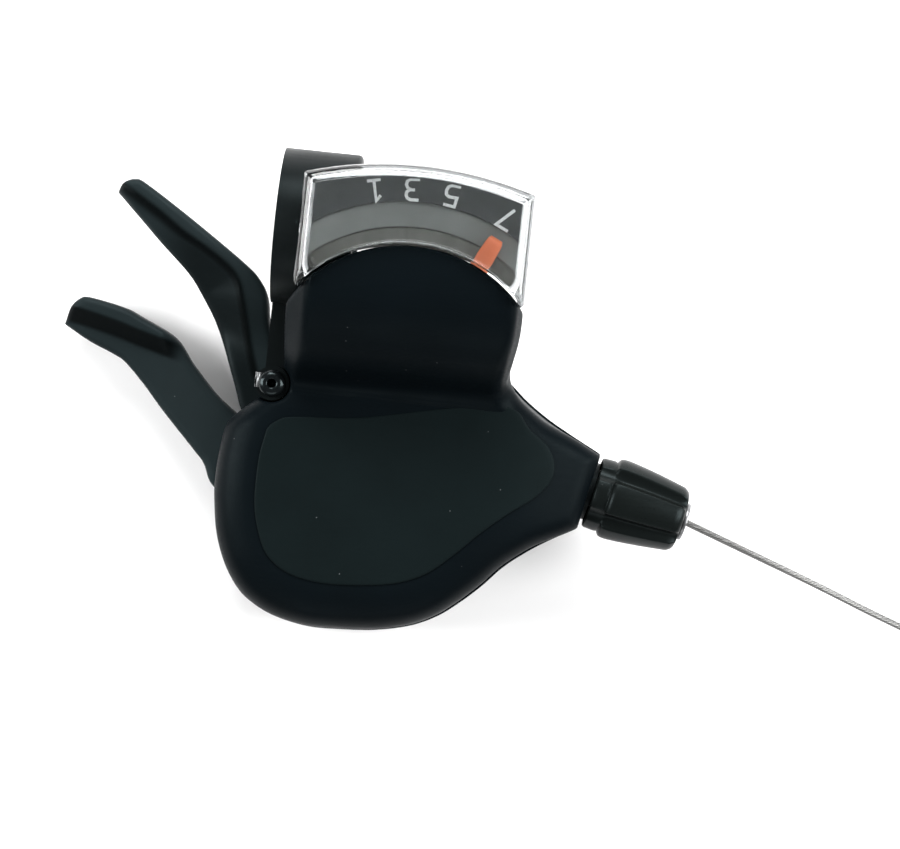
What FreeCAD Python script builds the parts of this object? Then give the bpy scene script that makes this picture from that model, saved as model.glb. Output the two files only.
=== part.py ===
"""Right-hand thumb shifter for a 22.2 mm handlebar: clamp, pod, gear indicator, two levers,
indexing drum, barrel adjuster and shift wire.

Millimetres. The origin is the centre of the bar clamp. +X runs along the handlebar towards
the middle of the bicycle, +Y points to the rider, and +Z up, along the lever axle.
"""

import FreeCAD
import Part
import math
import os
import re

SIZES = {
    # handlebar clamp
    "bar_radius": 11.1,
    "band_wall": 2.4,
    "band_width": 13.5,
    "slit_width": 2.0,
    "ear_length": 15.0,
    "ear_width": 11.0,
    "ear_low": -21.6,
    "bolt_level": -17.6,
    "bolt_radius": 2.5,
    "bolt_hole": 2.6,
    "bolt_head_radius": 4.25,
    "bolt_head_length": 4.8,
    "nut_flats": 8.0,
    # pod covers
    "pod_top": 1.2,
    "floor_level": -28.0,
    "parting_level": -16.0,
    "cover_wall": 1.8,
    "rim_step": 0.4,
    "post_radius": 2.5,
    "screw_radius": 1.2,
    "screw_head": 2.2,
    # lever axle and the stack on it
    "axle_x": 16.4,
    "axle_y": -44.8,
    "axle_radius": 3.5,
    "stud_radius": 2.5,
    "bearing_gap": 0.05,
    "deck_low": -7.2,
    "deck_high": -4.8,
    "deck_radius": 20.5,
    "drum_low": -14.6,
    "drum_high": -7.65,
    "drum_radius": 14.0,
    "ratchet_low": -16.2,
    "release_low": -18.0,
    "release_high": -16.4,
    "base_low": -20.0,
    "base_high": -18.2,
    "base_radius": 21.0,
    "lever_low": -21.9,
    "lever_high": -20.2,
    "washer_low": -22.4,
    "axle_nut_low": -25.4,
    "standoff_radius": 1.8,
    # indexing
    "tooth_pitch": 14.0,
    "tooth_tip": 14.5,
    "tooth_root": 12.6,
    "pawl_line": 13.7,
    "pawl_gap": 0.15,
    "feed_arm": 11.0,
    "hold_arm": 12.0,
    "pawl_pin": 1.5,
    # shift wire and barrel adjuster
    "wire_radius": 0.6,
    "cable_level": -11.6,
    "groove_radius": 11.6,
    "barrel_slope": -12.0,
    "barrel_reach": 34.6,
    "knob_start": 0.5,
    "knob_end": 16.8,
    "knob_radius": 7.3,
    "knob_end_radius": 5.6,
    "stem_radius": 2.6,
    "insert_radius": 3.0,
    "insert_lip": 3.35,
    "insert_bore": 2.1,
    "insert_end": 17.6,
    # indicator
    "needle_x": 17.5,
    "needle_y": -27.5,
    "needle_rest": 25.7,
    "needle_swing": 38.1,
    "drum_crank": 5.5,
    "window_radius": 25.2,
    "tray_low": 11.8,
    "dial_low": 12.8,
    "lens_low": 12.0,
    "lens_top": 20.3,
    "lens_wall": 1.4,
}

doc = FreeCAD.newDocument("thumb_shifter")
sheet = doc.addObject("Spreadsheet::Sheet", "Sizes")
for row, (alias, value) in enumerate(SIZES.items(), start=1):
    sheet.set(f"A{row}", alias)
    sheet.set(f"B{row}", str(value))
    sheet.setAlias(f"B{row}", alias)
doc.recompute()

NODES = []
UP = FreeCAD.Vector(0, 0, 1)


# ---------------------------------------------------------------- helpers

def size(alias):
    return float(getattr(sheet, alias))


def formula(text):
    """An expression on the sheet's aliases, such as "bar_radius + band_wall"."""
    return re.sub(r"[a-z]+(?:_[a-z]+)+", lambda found: "Sizes." + found.group(0), str(text))


def bind(thing, **sizes):
    for name, text in sizes.items():
        thing.setExpression(name, formula(text))
    return thing


def shift(thing, x="0", y="0", z="0"):
    for name, text in (("x", x), ("y", y), ("z", z)):
        thing.setExpression(f"Placement.Base.{name}", formula(text))
    return thing


def node(thing, label):
    """Names a finished piece of the shifter, which gets a file of its own."""
    thing.Label = label
    NODES.append(thing)
    return thing


def cylinder(radius, low, high, x="0", y="0"):
    """Upright cylinder between two levels."""
    thing = doc.addObject("Part::Cylinder", "Cylinder")
    bind(thing, Radius=radius, Height=f"({high}) - ({low})")
    return shift(thing, x, y, low)


def bar_cylinder(radius, half_length):
    """Cylinder along the handlebar, centred on the clamp."""
    thing = doc.addObject("Part::Cylinder", "Cylinder")
    bind(thing, Radius=radius, Height=f"2 * ({half_length})")
    thing.Placement.Rotation = FreeCAD.Rotation(FreeCAD.Vector(0, 1, 0), 90)
    return shift(thing, x=f"-({half_length})")


def cross_cylinder(radius, low, high, level):
    """Cylinder along Y through the clamp's middle, at a level."""
    thing = doc.addObject("Part::Cylinder", "Cylinder")
    bind(thing, Radius=radius, Height=f"({high}) - ({low})")
    thing.Placement.Rotation = FreeCAD.Rotation(FreeCAD.Vector(1, 0, 0), -90)
    return shift(thing, y=low, z=level)


def cone(low_radius, high_radius, low, high):
    thing = doc.addObject("Part::Cone", "Cone")
    bind(thing, Radius1=low_radius, Radius2=high_radius, Height=f"({high}) - ({low})")
    return shift(thing, z=low)


def box(x_range, y_range, z_range):
    thing = doc.addObject("Part::Box", "Box")
    lengths = [f"({high}) - ({low})" for low, high in (x_range, y_range, z_range)]
    bind(thing, Length=lengths[0], Width=lengths[1], Height=lengths[2])
    return shift(thing, x_range[0], y_range[0], z_range[0])


def hexagon(across_flats, low, high):
    thing = doc.addObject("Part::Prism", "Hexagon")
    thing.Polygon = 6
    bind(thing, Circumradius=f"({across_flats}) / sqrt(3)", Height=f"({high}) - ({low})")
    return shift(thing, z=low)


def fuse(*things):
    joined = doc.addObject("Part::MultiFuse", "Fuse")
    joined.Shapes = list(things)
    return joined


def cut(base, *tools):
    result = doc.addObject("Part::Cut", "Cut")
    result.Base = base
    result.Tool = tools[0] if len(tools) == 1 else fuse(*tools)
    return result


def common(*things):
    shared = doc.addObject("Part::MultiCommon", "Common")
    shared.Shapes = list(things)
    return shared


def ring(outer, inner, low, high):
    return cut(cylinder(outer, low, high), cylinder(inner, f"({low}) - 1", f"({high}) + 1"))


def turned(thing, degrees):
    thing.Placement = FreeCAD.Placement(FreeCAD.Vector(), FreeCAD.Rotation(UP, degrees))
    return thing


def at_axle(thing):
    """Puts a piece made about the Z axis onto the lever axle."""
    return shift(thing, "axle_x", "axle_y")


def polar(radius, degrees, start=(0.0, 0.0)):
    angle = math.radians(degrees)
    return (start[0] + radius * math.cos(angle), start[1] + radius * math.sin(angle))


def vector(point, level=0.0):
    return FreeCAD.Vector(point[0], point[1], level)


def line_edge(start, end):
    return Part.LineSegment(vector(start), vector(end))


def arc_edge(start, middle, end):
    return Part.Arc(vector(start), vector(middle), vector(end))


def polygon_edges(points):
    return [line_edge(a, b) for a, b in zip(points, points[1:] + points[:1])]


def smooth_edges(*runs):
    """Closed outline of one smooth curve, or line, through each run of points."""
    edges = []
    for run in runs:
        if len(run) == 2:
            edges.append(line_edge(*run))
        else:
            curve = Part.BSplineCurve()
            curve.interpolate([vector(point) for point in run])
            edges.append(curve)
    return edges


def band_edges(radius, half_width, start, end):
    """Outline of a slot that follows a circle about the origin, with round ends."""
    inner, outer, middle = radius - half_width, radius + half_width, (start + end) / 2
    start_cap = polar(half_width, start - 90, polar(radius, start))
    end_cap = polar(half_width, end + 90, polar(radius, end))
    return [
        arc_edge(polar(outer, start), polar(outer, middle), polar(outer, end)),
        arc_edge(polar(outer, end), end_cap, polar(inner, end)),
        arc_edge(polar(inner, end), polar(inner, middle), polar(inner, start)),
        arc_edge(polar(inner, start), start_cap, polar(outer, start)),
    ]


def sector_edges(inner, outer, start, end):
    middle = (start + end) / 2
    return [
        arc_edge(polar(outer, start), polar(outer, middle), polar(outer, end)),
        line_edge(polar(outer, end), polar(inner, end)),
        arc_edge(polar(inner, end), polar(inner, middle), polar(inner, start)),
        line_edge(polar(inner, start), polar(outer, start)),
    ]


def add_pad(body, edges, low, high):
    """One sketch parallel to XY at the low level, padded up to the high level."""
    sketch = body.newObject("Sketcher::SketchObject", "Sketch")
    plane = [item for item in body.Origin.OriginFeatures if item.Role == "XY_Plane"][0]
    sketch.AttachmentSupport = [(plane, "")]
    sketch.MapMode = "FlatFace"
    sketch.setExpression("AttachmentOffset.Base.z", formula(low))
    sketch.addGeometry(edges, False)
    pad = body.newObject("PartDesign::Pad", "Pad")
    pad.Profile = sketch
    bind(pad, Length=f"({high}) - ({low})")
    body.Tip = pad


def prism(edges, low, high):
    body = doc.addObject("PartDesign::Body", "Body")
    add_pad(body, edges, low, high)
    return body


def coil(radius, wire, turns, pitch):
    """Helical spring about the Z axis, standing on the XY plane."""
    spine = doc.addObject("Part::Helix", "Helix")
    bind(spine, Radius=radius, Pitch=pitch, Height=f"({turns}) * ({pitch})")
    profile = doc.addObject("Part::Circle", "Circle")
    bind(profile, Radius=wire)
    profile.Placement.Rotation = FreeCAD.Rotation(FreeCAD.Vector(1, 0, 0), 90)
    shift(profile, x=radius)
    sweep = doc.addObject("Part::Sweep", "Spring")
    sweep.Sections = [profile]
    sweep.Spine = (spine, ["Edge1"])
    sweep.Solid = True
    sweep.Frenet = True
    return sweep


def shape_feature(shape, label):
    thing = doc.addObject("Part::Feature", label)
    thing.Shape = shape
    return thing


# ---------------------------------------------------------------- places worked out from the sizes

AXLE = (size("axle_x"), size("axle_y"))
NEEDLE = (size("needle_x"), size("needle_y"))
SLOPE = size("barrel_slope")
TANGENT = polar(size("groove_radius"), SLOPE + 90, AXLE)
BARREL = polar(size("barrel_reach"), SLOPE, TANGENT)
ALONG_BARREL = FreeCAD.Rotation(UP, SLOPE).multiply(FreeCAD.Rotation(FreeCAD.Vector(0, 1, 0), 90))

DRUM_TURN = 6 * size("tooth_pitch")
LEVER_TURN = 3 * size("tooth_pitch")
FEED_NOSE = 240.0
HOLD_NOSE = 35.0


def pawl_pivot(nose, arm):
    """Pawl pivot about the axle: an arm's length back along the tangent at the nose."""
    line = size("pawl_line")
    return math.hypot(line, arm), nose - math.degrees(math.atan2(arm, line))


FEED_PIVOT = pawl_pivot(FEED_NOSE, size("feed_arm"))
HOLD_PIVOT = pawl_pivot(HOLD_NOSE, size("hold_arm"))

# The needle turns with the drum through a link: equal chords, and cranks square to the link halfway.
NEEDLE_CRANK = (
    size("drum_crank")
    * math.sin(math.radians(DRUM_TURN / 2))
    / math.sin(math.radians(size("needle_swing") / 2))
)
PIVOT_DISTANCE = math.dist(AXLE, NEEDLE)
PIVOT_ANGLE = math.degrees(math.atan2(NEEDLE[1] - AXLE[1], NEEDLE[0] - AXLE[0]))
CRANK_MIDDLE = (
    PIVOT_ANGLE
    - 90
    - math.degrees(math.asin((NEEDLE_CRANK - size("drum_crank")) / PIVOT_DISTANCE))
)
DRUM_CRANK_REST = CRANK_MIDDLE - DRUM_TURN / 2
NEEDLE_CRANK_REST = CRANK_MIDDLE - size("needle_swing") / 2
LINK_TOP = polar(NEEDLE_CRANK, NEEDLE_CRANK_REST, NEEDLE)
LINK_FOOT = polar(size("drum_crank"), DRUM_CRANK_REST, AXLE)

SCREWS = [(33.0, -55.5), (18.0, -66.2), (24.0, -22.5)]
STANDOFFS = [polar(19, angle, AXLE) for angle in (57, 110, 300)]


def in_barrel(thing):
    """Puts a piece made about the Z axis onto the barrel's axis, from the pod's face outwards."""
    thing.Placement = FreeCAD.Placement(vector(BARREL, size("cable_level")), ALONG_BARREL)
    return thing


# ---------------------------------------------------------------- clamp and bracket

def make_bracket():
    half = "band_width / 2"
    band = bar_cylinder("bar_radius + band_wall", half)
    rounded = doc.addObject("Part::Fillet", "Band")
    rounded.Base = band
    rounded.Edges = [(1, 0.9, 0.9), (3, 0.9, 0.9)]
    ears = box(
        ("-ear_width / 2", "ear_width / 2"),
        ("-ear_length / 2", "ear_length / 2"),
        ("ear_low", "-bar_radius + 1"),
    )
    arm = box((f"-{half}", half), ("-30", "-11.6"), ("-9.5", "-3.2"))
    deck = cylinder("deck_radius", "deck_low", "deck_high", "axle_x", "axle_y")
    barrel_arm = prism(
        polygon_edges([(28, -28.5), (46, -34), (45, -46), (28, -54)]), "deck_low", "deck_high"
    )
    port = cylinder("3.0", "-6", "-0.8", "-5.2", "-27.5")
    boss = shape_along_barrel("5.2", -10, 0)
    solid = fuse(rounded, ears, arm, deck, barrel_arm, port, boss)
    stem_bore = shape_along_barrel("stem_radius + bearing_gap", -9.3, 1)
    wire_bore = shape_along_barrel("1.0", -12, 1)
    crank_slot = at_axle(
        prism(
            band_edges(size("drum_crank"), 1.3, DRUM_CRANK_REST, DRUM_CRANK_REST + DRUM_TURN),
            "deck_low - 1",
            "deck_high + 1",
        )
    )
    holes = [
        bar_cylinder("bar_radius", "band_width"),
        box(("-band_width", "band_width"), ("-slit_width / 2", "slit_width / 2"), ("-30", "-8")),
        cross_cylinder("bolt_hole", "-20", "20", "bolt_level"),
        turned_to_y(hexagon("nut_flats + 0.1", "0", "4"), "-ear_length / 2"),
        cylinder("stud_radius", "-9", "0", "axle_x", "axle_y"),
        cylinder("1.6", "-4", "1", "-5.2", "-27.5"),
        crank_slot,
        stem_bore,
        wire_bore,
    ]
    for x, y in SCREWS:
        holes.append(cylinder("post_radius", "-9", "0", str(x), str(y)))
    return node(cut(solid, *holes), "clamp_bracket")


def shape_along_barrel(radius, start, end):
    """Cylinder on the barrel's axis between two distances from the pod's face."""
    thing = doc.addObject("Part::Cylinder", "Cylinder")
    bind(thing, Radius=radius)
    thing.Height = end - start
    thing.Placement = FreeCAD.Placement(
        vector(polar(start, SLOPE, BARREL), size("cable_level")), ALONG_BARREL
    )
    return thing


def turned_to_y(thing, start):
    """Lays a piece that stands on the XY plane along Y, at the clamp bolt's level."""
    thing.Placement.Rotation = FreeCAD.Rotation(FreeCAD.Vector(1, 0, 0), -90)
    return shift(thing, y=start, z="bolt_level")


def make_clamp_bolt():
    shank = cross_cylinder("bolt_radius", "-7", "ear_length / 2", "bolt_level")
    head = cross_cylinder(
        "bolt_head_radius", "ear_length / 2", "ear_length / 2 + bolt_head_length", "bolt_level"
    )
    socket = turned_to_y(hexagon("4", "0", "4"), "ear_length / 2 + bolt_head_length - 2.6")
    node(cut(fuse(shank, head), socket), "clamp_bolt")
    nut = turned_to_y(hexagon("nut_flats", "0", "4"), "-ear_length / 2")
    node(cut(nut, cross_cylinder("bolt_radius", "-20", "0", "bolt_level")), "clamp_nut")


# ---------------------------------------------------------------- covers

POD_CURVE = [
    (50.6, -47.3), (45.8, -50.1), (42.3, -52.4), (38.3, -55.6), (34.8, -59.4), (31.0, -62.9),
    (27.4, -65.6), (22.9, -67.7), (16.8, -69.1), (10.7, -69.6), (4.9, -69.7), (-0.9, -68.6),
    (-4.9, -66.8), (-8.0, -64.4), (-10.8, -60.3), (-12.8, -55.3), (-13.8, -50.1), (-14.2, -45.4),
    (-13.9, -39.6), (-13.0, -34.9), (-10.4, -32.0), (-6.4, -28.4), (-3.0, -23.6), (1.0, -20.2),
    (7.0, -19.2), (26.0, -19.2), (32.4, -20.2), (36.4, -23.4), (39.4, -26.0), (43.6, -28.9),
    (48.7, -31.7), (53.4, -34.1),
]
SIDE_PROFILE = [
    (-20, 0.0), (-9, 0.9), (0, 1.2), (37, 1.2), (46, -2.0), (54, -4.6),
    (54, -18.6), (44, -20.5), (35, -28), (-20, -28),
]
# Neck sections: distance along Y, crest level, left crest and foot, right crest and foot.
NECK = [
    (-28.4, -1.0, -2.2, -2.5, 34.2, 35.4),
    (-25.8, 3.2, -1.6, -3.0, 34.0, 35.4),
    (-23.2, 8.4, -0.8, -3.3, 33.9, 35.4),
    (-20.0, 12.6, -0.2, -3.4, 34.6, 36.0),
    (-15.5, 15.9, 0.0, -3.5, 35.3, 36.7),
    (-10.0, 17.8, 0.0, -3.5, 35.4, 36.8),
    (-1.0, 18.8, 0.0, -3.5, 35.4, 36.8),
]
FACET_DROP = 5.0
BAR_CLEARANCE = 12.4


def upright(shape_wire, low, high):
    face = Part.Face(shape_wire)
    face.translate(FreeCAD.Vector(0, 0, low))
    return face.extrude(FreeCAD.Vector(0, 0, high - low))


def moved_in(points, distance):
    """The same closed clockwise outline, moved inwards at every point."""
    moved = []
    for before, here, after in zip(points[-1:] + points[:-1], points, points[1:] + points[:1]):
        arriving = math.atan2(here[1] - before[1], here[0] - before[0])
        leaving = math.atan2(after[1] - here[1], after[0] - here[0])
        half_turn = ((leaving - arriving + math.pi) % (2 * math.pi) - math.pi) / 2
        heading = arriving + half_turn - math.pi / 2
        moved.append(polar(distance / math.cos(half_turn), math.degrees(heading), here))
    return moved


def pod_solid(inset, low, high):
    """Pod between two levels: its plan, cut by its side profile, both moved in by a distance."""
    curve = moved_in(POD_CURVE, inset)
    wire = Part.Wire([edge.toShape() for edge in smooth_edges(curve, [curve[-1], curve[0]])])
    profile = moved_in(SIDE_PROFILE, inset)
    corners = [FreeCAD.Vector(x, 10, z) for x, z in profile + profile[:1]]
    slab = Part.Face(Part.makePolygon(corners)).extrude(FreeCAD.Vector(0, -100, 0))
    return upright(wire, low, high).common(slab)


def neck_solid(inset, advance, drop, clearance):
    """The neck from the pod up to the window, kept clear of the handlebar."""
    sections = []
    for y, crest, left, left_foot, right, right_foot in NECK:
        outline = [
            (left_foot + inset, -6), (left_foot + inset, crest - FACET_DROP - drop),
            (left + inset, crest - drop), (right - inset, crest - drop),
            (right_foot - inset, crest - FACET_DROP - drop), (right_foot - inset, -6),
        ]
        corners = [FreeCAD.Vector(x, y + advance, z) for x, z in outline]
        sections.append(Part.makePolygon(corners + corners[:1]))
    neck = Part.makeLoft(sections, True, True)
    bar = Part.makeCylinder(clearance, 200, FreeCAD.Vector(-100, 0, 0), FreeCAD.Vector(1, 0, 0))
    reach = size("window_radius") + inset
    round_end = Part.makeCylinder(reach, 80, FreeCAD.Vector(*NEEDLE, -40))
    return neck.cut(bar).common(round_end)


def window_wire(side, back, front):
    """Plan of the indicator window: straight sides, a bowed back and a front about the needle."""
    left, right = -2.4 + side, 36.8 - side
    tip = -10.8 if not side else -8.4
    edges = [
        arc_edge((left, 8.4 - back), (17.2, 11.4 - back), (right, 8.4 - back)),
        line_edge((right, 8.4 - back), (right, tip)),
        line_edge((right, tip), (35.4, -8.2)),
        arc_edge((35.4, -8.2), (NEEDLE[0], NEEDLE[1] + front), (-0.4, -8.2)),
        line_edge((-0.4, -8.2), (left, tip)),
        line_edge((left, tip), (left, 8.4 - back)),
    ]
    if side:
        edges = [
            edges[0],
            line_edge((right, 8.4 - back), (right, -8.2)),
            arc_edge((right, -8.2), (NEEDLE[0], NEEDLE[1] + front), (left, -8.2)),
            line_edge((left, -8.2), (left, 8.4 - back)),
        ]
    return Part.Wire([edge.toShape() for edge in edges])


def band_room():
    """Room under the indicator for the clamp band and the handlebar."""
    along = FreeCAD.Vector(1, 0, 0)
    half = size("band_width") / 2 + 0.15
    band_radius = size("bar_radius") + size("band_wall") + 0.1
    band = Part.makeCylinder(band_radius, 2 * half, FreeCAD.Vector(-half, 0, 0), along)
    bar = Part.makeCylinder(size("bar_radius") + 0.7, 100, FreeCAD.Vector(-50, 0, 0), along)
    return band.fuse(bar)


def lens_block():
    return upright(window_wire(0, 0, size("window_radius")), size("lens_low"), size("lens_top"))


def arm_passage():
    """Room for the bracket's arm and cable port in the upper cover."""
    half = size("band_width") / 2 + 0.15
    passage = Part.makeBox(2 * half, 24, 6.7, FreeCAD.Vector(-half, -32, -9.7))
    port = Part.makeCylinder(3.3, 10, FreeCAD.Vector(-5.2, -27.5, -9.6))
    return passage.fuse(port)


def lever_window(start, end, low, high):
    wedge = Part.makeCylinder(60, high - low, vector(AXLE, low), UP, end - start)
    wedge.rotate(vector(AXLE), UP, start)
    core = Part.makeCylinder(21.1, high - low, vector(AXLE, low))
    return wedge.cut(core)


def make_covers():
    wall = size("cover_wall")
    parting, top = size("parting_level"), size("pod_top")
    outer = pod_solid(0, parting, top)
    rim = [edge for edge in outer.Edges if edge.BoundBox.ZMin > top - 0.01]
    try:
        outer = outer.makeFillet(2.0, rim)
    except Part.OCCError:
        print("the pod's top edge stays sharp")
    outer = outer.fuse(neck_solid(0, 0, 0, BAR_CLEARANCE))
    hollow = pod_solid(wall, parting - 1, top)
    hollow = hollow.fuse(neck_solid(wall, 1.3, 1.5, BAR_CLEARANCE + wall))
    shell = outer.cut(hollow)
    posts = [Part.makeCylinder(size("post_radius"), 16.2, vector(place, parting)) for place in SCREWS]
    shell = shell.fuse([post.common(outer) for post in posts])
    for place in SCREWS:
        shell = shell.cut(Part.makeCylinder(size("screw_radius"), 10, vector(place, parting - 1)))
    shell = shell.cut(lens_block()).cut(arm_passage()).cut(band_room())
    shell = shell.cut(lever_window(117, 172, -18.4, -12.6))
    barrel_hole = Part.makeCylinder(5.3, 20, vector(polar(-15, SLOPE, BARREL), size("cable_level")),
                                    vector(polar(1, SLOPE)))
    shell = shell.cut(barrel_hole)
    node(shape_feature(shell.removeSplitter(), "TopCover"), "top_cover")

    floor = size("floor_level")
    step = size("rim_step")
    tub = pod_solid(-step, floor, parting)
    tub = tub.cut(pod_solid(wall, floor, parting + 1))
    posts = [Part.makeCylinder(size("post_radius"), parting - floor, vector(p, floor)) for p in SCREWS]
    tub = tub.fuse([post.common(pod_solid(-step, floor, parting)) for post in posts])
    for place in SCREWS:
        tub = tub.cut(Part.makeCylinder(size("screw_radius") + 0.1, 14, vector(place, floor - 1)))
        tub = tub.cut(Part.makeCylinder(size("screw_head") + 0.1, 2.1, vector(place, floor - 0.01)))
    tub = tub.cut(lever_window(153, 232, -24.0, -18.2))
    tub = tub.cut(lever_window(117, 172, -18.4, parting + 1)).cut(barrel_hole)
    node(shape_feature(tub.removeSplitter(), "BottomCover"), "bottom_cover")


def make_cover_screws():
    screws = []
    for x, y in SCREWS:
        shank = cylinder("screw_radius", "floor_level + 2", "-8", str(x), str(y))
        head = cylinder("screw_head", "floor_level + 0.6", "floor_level + 2", str(x), str(y))
        recess = hexagon("2.2", "floor_level", "floor_level + 1.4")
        shift(recess, str(x), str(y), "floor_level")
        screws.append(cut(fuse(shank, head), recess))
    node(fuse(*screws), "cover_screws")


# ---------------------------------------------------------------- indicator

def make_indicator():
    wall = size("lens_wall")
    low, top = size("lens_low"), size("lens_top")
    block = lens_block()
    rim = [edge for edge in block.Edges if edge.BoundBox.ZMin > top - 0.01]
    back = [edge for edge in rim if edge.BoundBox.YMax > 0]
    block = block.makeChamfer(0.8, back)
    hollow = upright(window_wire(wall, wall, size("window_radius") - 4), low - 1, top - wall)
    lens = block.cut(hollow).cut(band_room())
    node(shape_feature(lens, "Lens"), "indicator_lens")

    inside = window_wire(wall + 0.1, wall + 0.1, size("window_radius") + 0.2)
    tray = upright(inside, size("tray_low"), size("dial_low")).cut(band_room())
    node(shape_feature(tray, "Tray"), "indicator_tray")

    plan = shape_feature(upright(inside, size("dial_low"), 15.0), "DialPlan")
    terraces = [
        cylinder("29.5", "dial_low", "dial_low + 0.6", "needle_x", "needle_y"),
        ring("33", "28.5", "dial_low", "dial_low + 1.1"),
        ring("45", "32.9", "dial_low", "dial_low + 1.6"),
    ]
    for terrace in terraces[1:]:
        shift(terrace, "needle_x", "needle_y")
    saddle = shape_feature(band_room(), "Saddle")
    node(cut(common(plan, fuse(*terraces)), saddle), "indicator_dial")


NEEDLE_PATH = [(1.6, -3.5), (4.6, 0.6), (8.4, 7.2), (12.5, 11.0), (18.0, 13.5), (24.0, 14.9), (31.1, 15.4)]


def make_needle():
    """Hub with a crank for the link, and an arm that climbs inside the neck to the dial."""
    half = 0.5
    above, below = [], []
    for here, after in zip(NEEDLE_PATH, NEEDLE_PATH[1:] + [NEEDLE_PATH[-1]]):
        before = NEEDLE_PATH[max(NEEDLE_PATH.index(here) - 1, 0)]
        along = math.atan2(after[1] - before[1], after[0] - before[0])
        above.append((here[0] - half * math.sin(along), here[1] + half * math.cos(along)))
        below.append((here[0] + half * math.sin(along), here[1] - half * math.cos(along)))
    corners = [FreeCAD.Vector(x, -1.1, z) for x, z in above + below[::-1]]
    blade = Part.Face(Part.makePolygon(corners + corners[:1])).extrude(FreeCAD.Vector(0, 2.2, 0))
    arm = turned(shape_feature(blade, "NeedleArm"), 90 - size("needle_rest"))
    crank = plate_arm(NEEDLE_CRANK, 3.0, NEEDLE_CRANK_REST, "-4.6", "-3.8")
    foot = polar(NEEDLE_CRANK, NEEDLE_CRANK_REST)
    eye = cylinder("1.9", "-4.6", "-3.8", str(foot[0]), str(foot[1]))
    pin = cylinder("0.8", "-3.9", "-2.4", str(foot[0]), str(foot[1]))
    hub = cylinder("3", "-4.6", "-2.5")
    bore = cylinder("pawl_pin + bearing_gap", "-6", "0")
    needle = cut(fuse(hub, arm, crank, eye, pin), bore)
    node(shift(needle, "needle_x", "needle_y"), "indicator_needle")

    stud = cylinder("pawl_pin", "deck_high", "-2.3", "needle_x", "needle_y")
    node(stud, "needle_pivot_pin")


def make_needle_link():
    length = math.dist(LINK_TOP, LINK_FOOT)
    heading = math.degrees(math.atan2(LINK_FOOT[1] - LINK_TOP[1], LINK_FOOT[0] - LINK_TOP[0]))
    strap = box(("0", str(length)), ("-1.1", "1.1"), ("-3.7", "-2.9"))
    top_eye = cylinder("1.8", "-3.7", "-2.9")
    foot_eye = cylinder("2.8", "-3.7", "-2.9", str(length))
    top_hole = cylinder("0.85", "-5", "0")
    foot_hole = cylinder("1.8", "-5", "0", str(length))
    link = cut(fuse(strap, top_eye, foot_eye), top_hole, foot_hole)
    link.Placement = FreeCAD.Placement(vector(LINK_TOP), FreeCAD.Rotation(UP, heading))
    node(link, "needle_link")


# ---------------------------------------------------------------- axle stack

def make_axle_stack():
    shaft = cylinder("axle_radius", "washer_low + 0.4", "deck_low")
    stud = cylinder("stud_radius", "axle_nut_low - 0.2", "deck_high")
    rivet = cylinder("3.3", "deck_high", "deck_high + 0.5")
    node(at_axle(fuse(shaft, stud, rivet)), "main_axle")
    nut = cut(
        hexagon("nut_flats", "axle_nut_low", "washer_low"),
        cylinder("stud_radius", "-30", "-20"),
    )
    node(at_axle(nut), "axle_nut")
    node(at_axle(ring("5", "stud_radius", "washer_low", "washer_low + 0.4")), "axle_washer")
    node(at_axle(ring("4.6", "axle_radius + bearing_gap", "drum_high + 0.05", "deck_low")), "drum_washer")
    posts = [cylinder("standoff_radius", "base_high", "deck_low", str(x), str(y)) for x, y in STANDOFFS]
    node(fuse(*posts), "plate_standoffs")


def make_base_plate():
    plate = at_axle(cylinder("base_radius", "base_low", "base_high"))
    plate.setExpression("Placement.Base.z", formula("base_low"))
    radius, angle = FEED_PIVOT
    window = at_axle(
        prism(band_edges(radius, 2.1, angle - 2.5, angle + LEVER_TURN + 2.5), "-30", "-10")
    )
    hold = polar(*HOLD_PIVOT, AXLE)
    holes = [
        cylinder("axle_radius", "-30", "-10", "axle_x", "axle_y"),
        cylinder("pawl_pin", "-30", "-10", str(hold[0]), str(hold[1])),
        window,
    ]
    for x, y in SCREWS:
        holes.append(cylinder("post_radius + 0.1", "-30", "-10", str(x), str(y)))
    node(cut(plate, *holes), "base_plate")


# ---------------------------------------------------------------- drum, ratchet and pawls

def tooth_angles():
    """Steep faces of the feed teeth and of the holding teeth, with the drum fully unwound."""
    lead = math.degrees(size("pawl_gap") / size("pawl_line")) + 0.1
    pitch = size("tooth_pitch")
    feed = [FEED_NOSE + lead - pitch * step for step in range(6)]
    hold = [HOLD_NOSE + lead - pitch * step for step in range(7)]
    return sorted(angle % 360 for angle in feed + hold)


def ratchet_edges():
    tip, root = size("tooth_tip"), size("tooth_root")
    points = []
    for angle in tooth_angles():
        points += [polar(root, angle), polar(tip, angle), polar(tip, angle + 1.2)]
        points += [polar(root, angle + 9.3), polar(root, angle + 11.5)]
        points += fill_points(angle, root)
    return polygon_edges(points)


def fill_points(angle, root):
    """Root points on the bare stretch between a tooth and a next one more than a pitch away."""
    gap = min((other - angle) % 360 for other in tooth_angles() if other != angle)
    return [polar(root, angle + step) for step in range(20, int(gap) - 3, 9)]


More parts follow.
